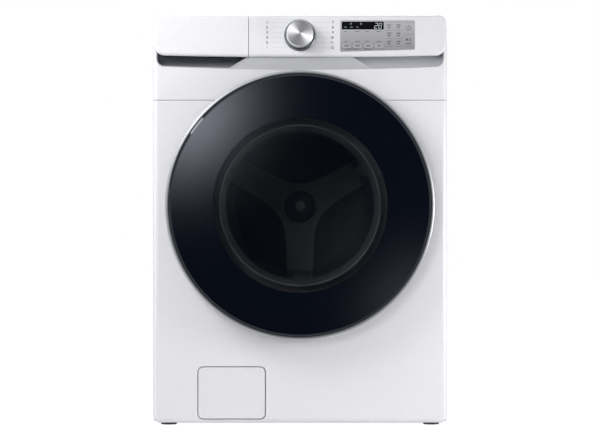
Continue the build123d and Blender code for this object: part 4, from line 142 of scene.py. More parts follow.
def soft_window(tree, direction, off_axis, around, width, strength):
    """Light that fades round one direction: off_axis from straight ahead, around from the right, in degrees."""
    tilt, turn = radians(off_axis), radians(around)
    middle = (sin(tilt) * cos(turn), -cos(tilt), sin(tilt) * sin(turn))
    along = add_node(tree, "ShaderNodeVectorMath", {0: direction, 1: middle}, operation="DOT_PRODUCT")
    sharp = 2 / radians(width) ** 2
    power = add_node(tree, "ShaderNodeMath", {0: along.outputs["Value"], 1: 1.0}, operation="SUBTRACT")
    power = add_node(tree, "ShaderNodeMath", {0: power.outputs[0], 1: sharp}, operation="MULTIPLY")
    glow = add_node(tree, "ShaderNodeMath", {0: power.outputs[0]}, operation="EXPONENT")
    return add_node(tree, "ShaderNodeMath", {0: glow.outputs[0], 1: strength}, operation="MULTIPLY").outputs[0]


world = bpy.data.worlds.new("studio")
bpy.context.scene.world = world
world.use_nodes = True
tree = world.node_tree
tree.nodes.clear()
towards = add_node(tree, "ShaderNodeTexCoord").outputs["Generated"]
ahead = add_node(tree, "ShaderNodeVectorMath", {0: towards, 1: (0, -1, 0)}, operation="DOT_PRODUCT").outputs["Value"]
wall = add_node(
    tree, "ShaderNodeMapRange",
    {"Value": ahead, "From Min": cos(radians(FLAG_INNER)), "From Max": cos(radians(FLAG_OUTER))},
    interpolation_type="SMOOTHSTEP",
).outputs[0]
light = add_node(
    tree, "ShaderNodeMath", {0: wall, 1: WALL_LIGHT - FLAG_LIGHT, 2: FLAG_LIGHT}, operation="MULTIPLY_ADD"
).outputs[0]
behind = add_node(
    tree, "ShaderNodeMapRange", {"Value": ahead, "From Min": DIM_START, "From Max": DIM_END},
    interpolation_type="SMOOTHSTEP",
).outputs[0]
dimmed = add_node(tree, "ShaderNodeMath", {0: behind, 1: BEHIND_LIGHT - 1, 2: 1.0}, operation="MULTIPLY_ADD")
light = add_node(tree, "ShaderNodeMath", {0: light, 1: dimmed.outputs[0]}, operation="MULTIPLY").outputs[0]
for window in WINDOWS:
    sheen = soft_window(tree, towards, *window)
    light = add_node(tree, "ShaderNodeMath", {0: light, 1: sheen}, operation="ADD").outputs[0]
studio = add_node(tree, "ShaderNodeBackground", {"Color": (1, 1, 1, 1), "Strength": light})
ray = add_node(tree, "ShaderNodeLightPath").outputs
shiny = add_node(tree, "ShaderNodeMath", {0: ray["Is Glossy Ray"], 1: behind}, operation="MULTIPLY").outputs[0]
white = add_node(tree, "ShaderNodeMath", {0: shiny, 1: BEHIND_GLOSS - 1, 2: 1.0}, operation="MULTIPLY_ADD")
backdrop = add_node(tree, "ShaderNodeBackground", {"Color": (1, 1, 1, 1), "Strength": white.outputs[0]})
seen = add_node(tree, "ShaderNodeMath", {0: ray["Is Glossy Ray"], 1: wall}, operation="MULTIPLY").outputs[0]
for kind in ("Is Camera Ray", "Is Transmission Ray"):
    seen = add_node(tree, "ShaderNodeMath", {0: seen, 1: ray[kind]}, operation="MAXIMUM").outputs[0]
both = add_node(tree, "ShaderNodeMixShader", {0: seen, 1: studio.outputs[0], 2: backdrop.outputs[0]})
add_node(tree, "ShaderNodeOutputWorld", {"Surface": both.outputs[0]})
print("world ready")

# %% [markdown]
# ## Floor and lamps
# The floor is white paper. To the camera it is nearly pure white, with only a breath of the machine's shadow, and
# reflections look through it to the backdrop. Two soft lamps, a strong one high on the left and a weaker one low on
# the right, give the white enamel its slow change of tone from corner to corner. A third lights the back.

# %% Floor and lamps
FLOOR_SIZE = 30
FLOOR_DROP = 0.0005          # the paper lies this much under the feet
PAPER_GLOW = 1.12
PAPER_SHARE = 0.86           # share of the glow in what the camera sees; the rest keeps the shadow
LAMPS = (                    # name, place, point it looks at, size in metres, watts
    ("lamp_key", (-1.1, -1.1, 1.5), (-0.3, -0.32, 0.8), 0.7, 14.5),
    ("lamp_side", (1.45, -0.85, 0.45), (0.34, -0.32, 0.45), 0.5, 10.0),
    ("lamp_back", (0, 2.2, 2.0), (0, 0.3, 0.6), 1.2, 22.0),
)

bpy.ops.object.select_all(action="DESELECT")
bpy.ops.mesh.primitive_plane_add(size=FLOOR_SIZE, location=(0, 0, -FLOOR_DROP))
floor = bpy.context.object
floor.name = "studio_floor"
paper, tree, shader = new_material("white_paper", "F4F4F4", Roughness=0.9)
shader.inputs["Specular IOR Level"].default_value = 0.2
ray = add_node(tree, "ShaderNodeLightPath").outputs
glow = add_node(tree, "ShaderNodeEmission", {"Color": (1, 1, 1, 1), "Strength": PAPER_GLOW})
share = add_node(tree, "ShaderNodeMath", {0: ray["Is Camera Ray"], 1: PAPER_SHARE}, operation="MULTIPLY")
lit = add_node(tree, "ShaderNodeMixShader", {0: share.outputs[0], 1: shader.outputs[0], 2: glow.outputs[0]})
clear = add_node(tree, "ShaderNodeBsdfTransparent")
surface = add_node(tree, "ShaderNodeMixShader", {0: ray["Is Glossy Ray"], 1: lit.outputs[0], 2: clear.outputs[0]})
tree.links.new(surface.outputs[0], tree.nodes["Material Output"].inputs["Surface"])
floor.data.materials.append(paper)

for name, place, aim, size, watts in LAMPS:
    bpy.ops.object.light_add(type="AREA", location=place)
    lamp = bpy.context.object
    lamp.name = name
    lamp.data.size = size
    lamp.data.energy = watts
    lamp.rotation_euler = (Vector(aim) - Vector(place)).to_track_quat("-Z", "Y").to_euler()
print("floor and lamps ready")

# %% [markdown]
# ## Giving a part its finish
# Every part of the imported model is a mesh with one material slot. `dress` puts a material in that slot and leaves
# the mesh as it is. `grain` is the recipe for a surface that is not perfectly flat: noise of a real size in
# millimetres, turned into a bump of a real depth.

# %% Helpers for finishes
dressed = set()


def dress(material, *names):
    """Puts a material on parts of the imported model."""
    for name in names:
        nodes[name].data.materials[0] = material
        dressed.add(name)
    print(material.name, "on", len(names), "parts")


def grain(tree, shader, size_mm, depth_mm, detail=2.0, stretch=(1, 1, 1)):
    """Bumps about size_mm across and depth_mm high; stretch makes them longer along an axis when under 1."""
    where = add_node(tree, "ShaderNodeMapping", {"Vector": place_in(tree), "Scale": stretch})
    noise = add_node(
        tree, "ShaderNodeTexNoise",
        {"Vector": where.outputs[0], "Scale": 1000 / size_mm, "Detail": detail, "Roughness": 0.5},
    )
    bump = add_node(
        tree, "ShaderNodeBump",
        {"Height": noise.outputs["Fac"], "Strength": 1.0, "Distance": depth_mm / 1000},
    )
    tree.links.new(bump.outputs[0], shader.inputs["Normal"])
    return noise.outputs["Fac"]


def shade(tree, shader, pattern, low, high, start=0.3, end=0.7):
    """Base colour that runs from low to high with a pattern."""
    spread = add_node(tree, "ShaderNodeMapRange", {"Value": pattern, "From Min": start, "From Max": end})
    tone = add_node(
        tree, "ShaderNodeMix", {"Factor": spread.outputs[0], "A": colour(low), "B": colour(high)},
        data_type="RGBA",
    )
    tree.links.new(tone.outputs["Result"], shader.inputs["Base Color"])


print("helpers ready")

# %% [markdown]
# ## White enamel on the steel panels
# The cabinet is folded steel, sprayed with polyester enamel and baked. Enamel is a clear, hard gloss over a white
# pigment that leans to violet. Its only texture is orange peel, the low waves that wet paint dries with: some
# 3 mm across and a hundredth of a millimetre high. They break up reflections without being seen themselves.

# %% Enamel
enamel, tree, shader = new_material(
    "baked_enamel_white", "EFEFF2", Roughness=0.24, IOR=1.5, Coat_Weight=0.35, Coat_Roughness=0.06
)
peel = grain(tree, shader, 3.2, 0.008, detail=1.0)
shade(tree, shader, peel, "EBEAEF", "EEEDF1")
dress(enamel, "cabinet_shell", "front_panel_lower", "front_panel_upper", "top_cover", "rear_access_cover")

# %% [markdown]
# ## White plastic of the fascia
# The control panel, the drawer front and the service door are moulded in glossy ABS, matched to the enamel. A
# steel mould gives a very even skin, so it gets a finer and weaker wave than the paint.

# %% Gloss ABS
gloss_abs, tree, shader = new_material(
    "moulded_abs_white", "F3F3F5", Roughness=0.2, IOR=1.53, Coat_Weight=0.2, Coat_Roughness=0.05
)
flow = grain(tree, shader, 9.0, 0.006, detail=0.0)
shade(tree, shader, flow, "E9E9EE", "ECECF0")
dress(gloss_abs, "control_panel", "drawer_front", "filter_cover")

# %% [markdown]
# ## Silver lacquer of the handle band and the door ring
# Silver trim on an appliance is ABS under a lacquer with aluminium flakes. The flakes are far too small to see one
# by one, so the bumps here are drawn at half a millimetre. Half metallic and fairly rough gives the soft sheen.
# The finger pockets behind the band look darker than the band itself. Part of that is shadow, and part is painted
# shade: the lacquer's tone darkens with depth behind the face. The door ring gets a rougher satin chrome. Its dark
# rim at the glass is a painted reflection, which the lamps alone don't give, so its tone follows the distance from
# the axis.

# %% Silver lacquer
TRIM_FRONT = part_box("handle_trim")[0].y
# The pockets' painted shade starts at the first depth and is darkest at the second.
POCKET_SHADE_START, POCKET_SHADE_END = 0.001, 0.027     # depth behind the band's face where the lacquer starts to darken, and where it ends
# The ring's painted dark reflection at the glass fades out between these two distances.
RING_REFLECTION_DARK, RING_REFLECTION_PALE = 0.0005, 0.0075   # distance outside the glass where the chrome starts to turn pale, and ends

silver, tree, shader = new_material("silver_lacquer", "CACBCF", Metallic=0.5, Roughness=0.36)
grain(tree, shader, 0.5, 0.004)
depth = add_node(tree, "ShaderNodeSeparateXYZ", {0: place_in(tree)}).outputs[1]
# Painted shade: the lacquer darkens with depth behind the band's face, darkest deep in the finger pockets.
shade(tree, shader, depth, "D8D9DD", "7A7E88", start=TRIM_FRONT + POCKET_SHADE_START, end=TRIM_FRONT + POCKET_SHADE_END)
dress(silver, "handle_trim")

glass_low, glass_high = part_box("door_glass")
AXIS_Z = (glass_low.z + glass_high.z) / 2
GLASS_R = (glass_high.x - glass_low.x) / 2


def off_axis(tree):
    """Distance of the point from the axis of door and drum."""
    where = add_node(tree, "ShaderNodeMapping", {"Vector": place_in(tree), "Location": (0, 0, -AXIS_Z)})
    flat = add_node(tree, "ShaderNodeVectorMath", {0: where.outputs[0], 1: (1, 0, 1)}, operation="MULTIPLY")
    return add_node(tree, "ShaderNodeVectorMath", {0: flat.outputs[0]}, operation="LENGTH").outputs["Value"]


satin_chrome, tree, shader = new_material("satin_chrome_plating", "B4B6BA", Metallic=0.85, Roughness=0.42)
grain(tree, shader, 0.5, 0.002)
# Painted reflection: the chrome is dark at the glass and turns pale outwards.
shade(tree, shader, off_axis(tree), "2A2B30", "BDBFC3", start=GLASS_R + RING_REFLECTION_DARK, end=GLASS_R + RING_REFLECTION_PALE)
dress(satin_chrome, "door_ring")

# %% [markdown]
# ## Dark glass of the door
# The outer panel is tempered glass, tinted dark. Outside the bowl its back is printed with an opaque black frit,
# which hides the frame. Inside the bowl's edge the tint lets a little of the drum show through, so the material
# turns partly see-through there, by its distance from the door's axis. It is clearer than such glass really is,
# because little light gets into the closed drum.

# %% Tempered glass
bowl_low, bowl_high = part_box("door_bowl")
FRIT_R = (bowl_high.x - bowl_low.x) / 2
FRIT_FADE = 0.0015
TINT_COVER = 0.3             # how much each face of the tinted glass covers
COOL_GLOSS = (0.84, 0.88, 1.0, 1.0)

tempered, tree, shader = new_material("tinted_tempered_glass", "080C15", Roughness=0.025, IOR=1.52)
shader.inputs["Specular Tint"].default_value = COOL_GLOSS
frit = add_node(
    tree, "ShaderNodeMapRange",
    {"Value": off_axis(tree), "From Min": FRIT_R, "From Max": FRIT_R + FRIT_FADE,
     "To Min": TINT_COVER, "To Max": 1.0},
)
tree.links.new(frit.outputs[0], shader.inputs["Alpha"])
tempered.surface_render_method = "BLENDED"
dress(tempered, "door_glass")

# %% [markdown]
# ## Clear glass bowl
# The bowl is pressed soda-lime glass, thick and clear. Seen square on it is hardly there, and at its walls, where
# the eye looks along the glass, it turns bright. Layer Weight gives that change, in the tone and in the cover; the
# brighter tone is a painted reflection.

# %% Pressed glass
bowl_glass, tree, shader = new_material("pressed_clear_glass", "DDE6E8", Roughness=0.03, IOR=1.5)
edge = add_node(tree, "ShaderNodeLayerWeight", {"Blend": 0.35})
body = add_node(
    tree, "ShaderNodeMapRange",
    {"Value": edge.outputs["Facing"], "From Min": 0.1, "From Max": 1.0, "To Min": 0.05, "To Max": 0.55},
)
tree.links.new(body.outputs[0], shader.inputs["Alpha"])
# Painted reflection: the bowl's tone brightens where the eye looks along the glass.
shade(tree, shader, edge.outputs["Facing"], "090C10", "3E464C", start=0.3, end=1.0)
bowl_glass.surface_render_method = "BLENDED"
dress(bowl_glass, "door_bowl")

# %% [markdown]
# ## Stainless drum
# The drum is rolled from stainless sheet, brushed to a satin sheen. Its wall and back are pierced with drain holes,
# about 4 mm wide and 14 mm apart. The model has none, so the material draws them: a grid of round cells, dark
# inside, on the unrolled wall and on the flat back. The back's three pressed arms are plain. Little light comes
# through the dark glass, so the tones do what shadow would: the gaps between the arms and the middle of the hub are
# given a darker tone than the arms, which is painted shade. The edge of a gap is a hyperbola: it rounds the hub and
# then runs straight along both arms, so one formula gives all three gaps.

# %% Satin stainless with drain holes
HOLE_PITCH = 0.014
HOLE_R = 0.0022
HOLE_SOFT = 0.15             # share of a hole's radius by which its edge fades, in and out
DRUM_R = 0.28                # radius at which the wall is unrolled
GAP_ANGLES = (90, 210, 330)  # middle of each gap between two arms, in degrees
GAP_TIP = 0.060              # from the hub's middle to the edge of a gap
GAP_SOFT = 0.002
GAP_LEAN = radians(30)       # between the arms and the line across a gap
ARM_HALF = 0.030             # half the width of an arm, far from the hub
GAP_OFFSET = ARM_HALF / cos(GAP_LEAN)
GAP_ROUND = GAP_TIP - GAP_OFFSET
# Painted shade on the drum's back: the gaps keep only a share of the arms' tone, the hub's middle none.
FIELD_SHARE = 0.1            # share of the arms' tone in the gaps
HUB_SHADE_R = 0.041                # out to here the middle of the hub is dark
HUB_SHADE_SOFT = 0.001


def past_gap(tree, where, angle):
    """How far a point lies on the arms' side of the edge of one gap."""
    right, up = cos(radians(angle)), sin(radians(angle))
    far = add_node(tree, "ShaderNodeVectorMath", {0: where, 1: (right, 0, up)}, operation="DOT_PRODUCT")
    aside = add_node(tree, "ShaderNodeVectorMath", {0: where, 1: (-up, 0, right)}, operation="DOT_PRODUCT")
    slope = add_node(
        tree, "ShaderNodeMath", {0: aside.outputs["Value"], 1: tan(GAP_LEAN)}, operation="MULTIPLY"
    ).outputs[0]
    square = add_node(tree, "ShaderNodeMath", {0: slope, 1: slope, 2: GAP_ROUND ** 2}, operation="MULTIPLY_ADD")
    edge = add_node(tree, "ShaderNodeMath", {0: square.outputs[0]}, operation="SQRT").outputs[0]
    edge = add_node(tree, "ShaderNodeMath", {0: edge, 1: GAP_OFFSET}, operation="ADD").outputs[0]
    return add_node(tree, "ShaderNodeMath", {0: edge, 1: far.outputs["Value"]}, operation="SUBTRACT").outputs[0]


def pressed_back(tree, where, solid):
    """Share of the arms' tone on the drum's back: all on the arms, a little in the gaps, none at the hub; the rest is
    painted shade.
    """
    arm = past_gap(tree, where, GAP_ANGLES[0])
    for angle in GAP_ANGLES[1:]:
        other = past_gap(tree, where, angle)
        arm = add_node(tree, "ShaderNodeMath", {0: arm, 1: other}, operation="MINIMUM").outputs[0]
    arm = add_node(tree, "ShaderNodeMapRange", {"Value": arm, "From Min": 0, "From Max": GAP_SOFT}).outputs[0]
    field = add_node(tree, "ShaderNodeMath", {0: solid, 1: FIELD_SHARE}, operation="MULTIPLY").outputs[0]
    share = add_node(tree, "ShaderNodeMath", {0: field, 1: arm}, operation="MAXIMUM").outputs[0]
    hub = add_node(
        tree, "ShaderNodeMapRange", {"Value": off_axis(tree), "From Min": HUB_SHADE_R - HUB_SHADE_SOFT, "From Max": HUB_SHADE_R}
    ).outputs[0]
    return add_node(tree, "ShaderNodeMath", {0: share, 1: hub}, operation="MULTIPLY").outputs[0]


def pierced(name, unrolled, dark, plain, metallic):
    """Stainless sheet with a grid of drain holes, on the drum's wall or on its flat back."""
    made, tree, shader = new_material(name, "BFC0C2", Metallic=metallic, Roughness=0.4)
    where = add_node(tree, "ShaderNodeMapping", {"Vector": place_in(tree), "Location": (0, 0, -AXIS_Z)}).outputs[0]
    across, along, high = add_node(tree, "ShaderNodeSeparateXYZ", {0: where}).outputs
    if unrolled:
        turn = add_node(tree, "ShaderNodeMath", {0: high, 1: across}, operation="ARCTAN2").outputs[0]
        across = add_node(tree, "ShaderNodeMath", {0: turn, 1: DRUM_R}, operation="MULTIPLY").outputs[0]
        high = along
    sheet = add_node(tree, "ShaderNodeCombineXYZ", {0: across, 1: high})
    cell = add_node(
        tree, "ShaderNodeTexVoronoi",
        {"Vector": sheet.outputs[0], "Scale": 1 / HOLE_PITCH, "Randomness": 0.0}, voronoi_dimensions="2D",
    )
    share = add_node(
        tree, "ShaderNodeMapRange",
        {"Value": cell.outputs["Distance"], "From Min": HOLE_R / HOLE_PITCH * (1 - HOLE_SOFT),
         "From Max": HOLE_R / HOLE_PITCH * (1 + HOLE_SOFT)},
    ).outputs[0]
    if not unrolled:
        share = pressed_back(tree, where, share)
    shade(tree, shader, share, dark, plain, start=0.0, end=1.0)
    return made


dress(pierced("stainless_drum_wall", True, "0A0A0B", "D4D5D7", 0.6), "drum_shell")
dress(pierced("stainless_drum_back", False, "66676A", "A6A7A9", 1.0), "drum_back")

# %% [markdown]
# ## Spun aluminium of the dial
# The dial's cap is turned on a lathe, and the tool leaves fine rings round its axis. Light on such rings spreads
# across them and stays narrow along them, so the face shows bright wedges that meet in the middle. The shader does
# that with anisotropy, and needs the way across the rings at every point. The cross product of the dial's axis
# and the way from the axis to the point runs along a ring, and its cross product with the axis runs across.

# %% Spun aluminium
FACE_LEAN = radians(5.8)     # the fascia leans back by this much
face_out = Vector((0, -cos(FACE_LEAN), sin(FACE_LEAN)))
face_up = Vector((0, sin(FACE_LEAN), cos(FACE_LEAN)))
knob_centre = Vector((0, -0.32632, 0.9095))   # where the dial's axis meets the fascia
LATHE_CUTS = 2500            # rings per metre of radius

spun, tree, shader = new_material(
    "spun_aluminium", "DCDDDF", Metallic=1.0, Roughness=0.32, Anisotropic=0.85, Anisotropic_Rotation=0.05
)
where = add_node(tree, "ShaderNodeVectorMath", {0: place_in(tree), 1: knob_centre}, operation="SUBTRACT")
rings = add_node(tree, "ShaderNodeVectorMath", {0: face_out, 1: where.outputs[0]}, operation="CROSS_PRODUCT")
spoke = add_node(tree, "ShaderNodeVectorMath", {0: rings.outputs[0], 1: face_out}, operation="CROSS_PRODUCT")
spoke = add_node(tree, "ShaderNodeVectorMath", {0: spoke.outputs[0]}, operation="NORMALIZE")
tree.links.new(spoke.outputs[0], shader.inputs["Tangent"])
radius = add_node(tree, "ShaderNodeVectorMath", {0: rings.outputs[0]}, operation="LENGTH")
cut = add_node(
    tree, "ShaderNodeTexNoise", {"W": radius.outputs["Value"], "Scale": LATHE_CUTS, "Detail": 2.0},
    noise_dimensions="1D",
)
shade(tree, shader, cut.outputs["Fac"], "D2D3D6", "E8E9EB")
dress(spun, "knob")

# %% [markdown]
# ## Chrome ring round the dial
# Chrome plating over smoked lacquer is a darker, bluish mirror. A trace of roughness keeps its reflections from
# looking drawn.

# %% Chrome
chrome, tree, shader = new_material("smoked_chrome_plating", "8B8E96", Metallic=1.0, Roughness=0.22)
grain(tree, shader, 12.0, 0.004, detail=0.0)
dress(chrome, "knob_bezel")

# %% [markdown]
# ## Silver film over the keys
# The touch keys lie under a sheet of polyester with silver ink on its back. The ink is fine-grained and the sheet's
# face is satin. Its tone grows slowly darker towards its bottom edge, which is a painted reflection.

# %% Silver key film
touch_low, touch_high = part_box("touch_panel")
SPECKLE = 0.08               # how much the ink's grain shifts the tone

film, tree, shader = new_material("silver_ink_film", "B4B4B8", Metallic=0.35, Roughness=0.32)
ink = grain(tree, shader, 0.6, 0.003)
height = add_node(tree, "ShaderNodeSeparateXYZ", {0: place_in(tree)}).outputs[2]
# Painted reflection: the film's tone grows darker towards its bottom edge.
reflection_fall = add_node(
    tree, "ShaderNodeMapRange",
    {"Value": height, "From Min": touch_low.z, "From Max": touch_high.z, "To Min": 0.1, "To Max": 0.9},
)
ink_and_reflection = add_node(tree, "ShaderNodeMath", {0: ink, 1: SPECKLE, 2: reflection_fall.outputs[0]}, operation="MULTIPLY_ADD")
shade(tree, shader, ink_and_reflection.outputs[0], "9C9CA2", "CACACE", start=0.04, end=0.98)
dress(film, "touch_panel")

# %% [markdown]
# ## Display window and push buttons
# The display lies under smoked acrylic, black until it is lit. The four buttons are ABS with a satin metal coat.

# %% Smoked acrylic and satin coat
acrylic, tree, shader = new_material("smoked_acrylic", "0A0B0D", Roughness=0.12, IOR=1.49)
grain(tree, shader, 6.0, 0.003, detail=0.0)
dress(acrylic, "display_window")

satin, tree, shader = new_material("satin_coated_abs", "A6A6AB", Metallic=0.4, Roughness=0.35)
coat = grain(tree, shader, 0.8, 0.003)
shade(tree, shader, coat, "AEAEB3", "B8B8BD")
dress(satin, "push_button_1", "push_button_2", "push_button_3", "push_button_4")

# %% [markdown]
# ## Plain plastics
# The parts inside are moulded without show. Polypropylene is waxy and slightly translucent, with the flow marks of
# a large mould: the tub is filled with glass fibre, which greys it and speckles its skin. Spark-eroded moulds
# leave a fine grain of a few tenths of a millimetre, drawn here at one millimetre so that it can be seen.

# %% Polypropylene and moulded ABS
tub_pp, tree, shader = new_material("glass_filled_polypropylene", "C3C5C8", Roughness=0.55, IOR=1.49)
flow = grain(tree, shader, 14.0, 0.05, detail=6.0)
shade(tree, shader, flow, "B6B9BD", "CED0D2")
dress(tub_pp, "tub_front", "tub_rear")

natural_pp, tree, shader = new_material(
    "white_polypropylene", "E6E7E8", Roughness=0.45, IOR=1.49, Subsurface_Weight=0.08
)
flow = grain(tree, shader, 1.0, 0.01)
shade(tree, shader, flow, "E1E2E4", "ECECED")
dress(natural_pp, "dispenser_housing", "drawer_tray", "inlet_valves", "service_pocket")

grey_abs, tree, shader = new_material("grained_abs_grey", "9B9DA1", Roughness=0.5, IOR=1.53)
spark = grain(tree, shader, 1.0, 0.015)
shade(tree, shader, spark, "94969A", "A3A5A8")
dress(grey_abs, "door_inner_frame", "drum_lifters", "pump_filter")

black_pp, tree, shader = new_material("black_polypropylene", "1B1B1D", Roughness=0.5, IOR=1.49)
spark = grain(tree, shader, 1.2, 0.02)
shade(tree, shader, spark, "161618", "222224")
dress(black_pp, "drain_pump", "door_lock", "cord_gland")

# %% [markdown]
# ## Zinc, steel and cast metal
# Structural steel is galvanised: zinc freezes on it in flat crystals some 10 mm across, each with its own tone.
# Small parts are zinc plated, bright and even. The spider is an aluminium casting with a sandy skin, and the shaft
# is ground along its turning direction.

# %% Zinc, cast aluminium, ground steel
CRYSTAL = 0.010

spangle, tree, shader = new_material("galvanised_steel", "A9ABAE", Metallic=1.0, Roughness=0.42)
crystal = add_node(tree, "ShaderNodeTexVoronoi", {"Vector": place_in(tree), "Scale": 1 / CRYSTAL})
tone = add_node(tree, "ShaderNodeSeparateXYZ", {0: crystal.outputs["Color"]}).outputs[0]
shade(tree, shader, tone, "9EA0A4", "B7B9BB", start=0.0, end=1.0)
rough = add_node(tree, "ShaderNodeMapRange", {"Value": tone, "To Min": 0.34, "To Max": 0.5})
tree.links.new(rough.outputs[0], shader.inputs["Roughness"])
dress(spangle, "base_frame", "top_braces", "damper_tubes")

plated, tree, shader = new_material("bright_zinc_plating", "B9BABB", Metallic=1.0, Roughness=0.28)
grind = grain(tree, shader, 2.0, 0.006)
shade(tree, shader, grind, "B2B3B3", "C1C1BF")
dress(plated, "cabinet_screws", "damper_rods", "door_hook", "hinge_bracket", "heater", "rotor", "suspension_springs")

casting, tree, shader = new_material("sand_cast_aluminium", "9A9B9D", Metallic=1.0, Roughness=0.5)
sand = grain(tree, shader, 1.5, 0.12, detail=4.0)
shade(tree, shader, sand, "8C8D90", "A6A7A8")
dress(casting, "drum_spider")

ground, tree, shader = new_material("ground_steel", "BDBEC0", Metallic=1.0, Roughness=0.18)
rings = grain(tree, shader, 0.6, 0.002, stretch=(0.05, 1, 0.05))
shade(tree, shader, rings, "B3B4B6", "C8C9CA")
dress(ground, "drum_shaft", "bearings")

# %% [markdown]
# ## Rubber
# The gasket is grey EPDM with talc on its skin, the hoses are black EPDM, and the feet are rubber bonded to steel.

# %% Rubber
epdm_grey, tree, shader = new_material("epdm_grey", "5F6165", Roughness=0.62, IOR=1.5, Sheen_Weight=0.15)
skin = grain(tree, shader, 2.5, 0.02, detail=3.0)
shade(tree, shader, skin, "585A5E", "696B6F")
dress(epdm_grey, "door_gasket")

epdm_black, tree, shader = new_material("epdm_black", "232325", Roughness=0.58, IOR=1.5, Sheen_Weight=0.1)
skin = grain(tree, shader, 2.0, 0.02, detail=3.0)
shade(tree, shader, skin, "1D1D1F", "2B2B2D")
dress(epdm_black, "drain_hose", "fill_hose", "inlet_hoses", "shaft_seal", "sump_hose")

foot_rubber, tree, shader = new_material("foot_rubber", "4A4E55", Roughness=0.6, IOR=1.5)
skin = grain(tree, shader, 1.2, 0.02)
shade(tree, shader, skin, "44484F", "53575E")
dress(foot_rubber, "foot_front_left", "foot_front_right", "foot_rear_left", "foot_rear_right")

# %% [markdown]
# ## Concrete, copper and board
# The counterweights are cast concrete: pale cement with pores and grit of a few millimetres. The stator's coils
# are lacquered copper, and the control board is glass fibre under green solder mask.

# %% Concrete, copper, board
WIRE_SCALE = 1000 / 3.14     # waves of the coils' wire, some 1 mm apart
WIRE_DEPTH = 0.0004

concrete, tree, shader = new_material("cast_concrete", "8F8C86", Roughness=0.85)
grit = grain(tree, shader, 5.0, 0.4, detail=8.0)
shade(tree, shader, grit, "7D7A75", "A29F98")
dress(concrete, "counterweights")

copper, tree, shader = new_material("lacquered_copper_wire", "B4683A", Metallic=0.9, Roughness=0.35)
wire = add_node(
    tree, "ShaderNodeTexWave", {"Vector": place_in(tree), "Scale": WIRE_SCALE, "Distortion": 0.5},
    bands_direction="Y",
)
bump = add_node(tree, "ShaderNodeBump", {"Height": wire.outputs["Fac"], "Strength": 1.0, "Distance": WIRE_DEPTH})
tree.links.new(bump.outputs[0], shader.inputs["Normal"])
shade(tree, shader, wire.outputs["Fac"], "8A4A26", "C77C48", start=0.0, end=1.0)
dress(copper, "stator")

board, tree, shader = new_material("solder_mask_green", "0F4A2A", Roughness=0.3, IOR=1.5)
track = add_node(
    tree, "ShaderNodeTexBrick",
    {"Vector": place_in(tree), "Scale": 60.0, "Mortar Size": 0.03,
     "Color1": colour("0F4A2A"), "Color2": colour("135230"), "Mortar": colour("2A7A4C")},
)
tree.links.new(track.outputs["Color"], shader.inputs["Base Color"])
dress(board, "control_board")
print("without a finish of their own:", sorted(set(nodes) - dressed))

# %% [markdown]
# ## Printing ink on the fascia
# Marks on an appliance are screen printed: a film of ink a few hundredths of a millimetre thick, flat and matt. On
# the leaning face they are laid out by x and by height, as a printer's film would be. `ink_bar` is one flat bar
# between two points of the face. It starts as a plane, is stretched to size, and its ends can be pointed. A point
# of the face is given by x and height z.

# %% Helpers for printed marks
INK_GAP = 0.00006            # ink stands off the face by this much, so that the two never flicker
INK_FILM = 0.00005
FACE_TURN = pi / 2 - FACE_LEAN
POINT_CUT = 0.48             # how far a pointed end is cut back, as a share of the bar's width
BOLDER = 0.034               # how much a figure's strokes are thickened, as a share of its size


def on_face(x, z, proud=INK_GAP):
    """The point of the leaning face at x and height z, a little proud of it."""
    return Vector((x, knob_centre.y + (z - knob_centre.z) * tan(FACE_LEAN), z)) + face_out * proud


def ink_bar(start, end, width, proud=INK_GAP, pointed=False):
    """A flat bar of ink from one (x, z) point of the face to another."""
    low, high = on_face(*start, proud), on_face(*end, proud)
    run = high - low
    slope = atan2(run.dot(face_up), run.x)
    turn = Matrix.Rotation(FACE_TURN, 3, "X") @ Matrix.Rotation(slope, 3, "Z")
    bpy.ops.object.select_all(action="DESELECT")
    bpy.ops.mesh.primitive_plane_add(size=1, location=(low + high) / 2, rotation=turn.to_euler())
    bar = bpy.context.object
    bar.scale = (run.length, width, 1)
    bpy.ops.object.transform_apply(location=False, rotation=False, scale=True)
    if pointed:
        bpy.ops.object.mode_set(mode="EDIT")
        bpy.ops.mesh.select_all(action="SELECT")
        bpy.ops.mesh.bevel(offset=width * POINT_CUT, affect="VERTICES")
        bpy.ops.object.mode_set(mode="OBJECT")
    return bar


def ink_text(words, x, z, size, align, proud=INK_GAP):
    """Figures on the face, made a mesh."""
    bpy.ops.object.select_all(action="DESELECT")
    bpy.ops.object.text_add(location=on_face(x, z, proud), rotation=(FACE_TURN, 0, 0))
    text = bpy.context.object
    text.data.body = words
    text.data.size = size
    text.data.offset = size * BOLDER
    text.data.align_x = align
    text.data.align_y = "CENTER"
    bpy.ops.object.convert(target="MESH")
    return bpy.context.object


def printed(name, marks, material, body):
    """Joins marks into one piece with the thickness of an ink film, and fixes it to a body."""
    bpy.ops.object.select_all(action="DESELECT")
    for mark in marks:
        mark.select_set(True)
    bpy.context.view_layer.objects.active = marks[0]
    bpy.ops.object.join()
    piece = bpy.context.object
    piece.name = name
    bpy.ops.object.transform_apply(location=True, rotation=True, scale=True)
    film = piece.modifiers.new("film", "SOLIDIFY")
    film.thickness = INK_FILM
    film.offset = 1
    bpy.ops.object.modifier_apply(modifier=film.name)
    piece.data.materials.clear()
    piece.data.materials.append(material)
    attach(piece, body)
    print(name, len(piece.data.polygons), "faces")


def screen_ink(name, low, high, rough=0.55):
    """Matt ink whose tone varies a little with the mesh of the screen, 0.1 mm drawn at half a millimetre."""
    ink, tree, shader = new_material(name, low, Roughness=rough, IOR=1.5)
    mesh = grain(tree, shader, 0.5, 0.002)
    shade(tree, shader, mesh, low, high)
    return ink


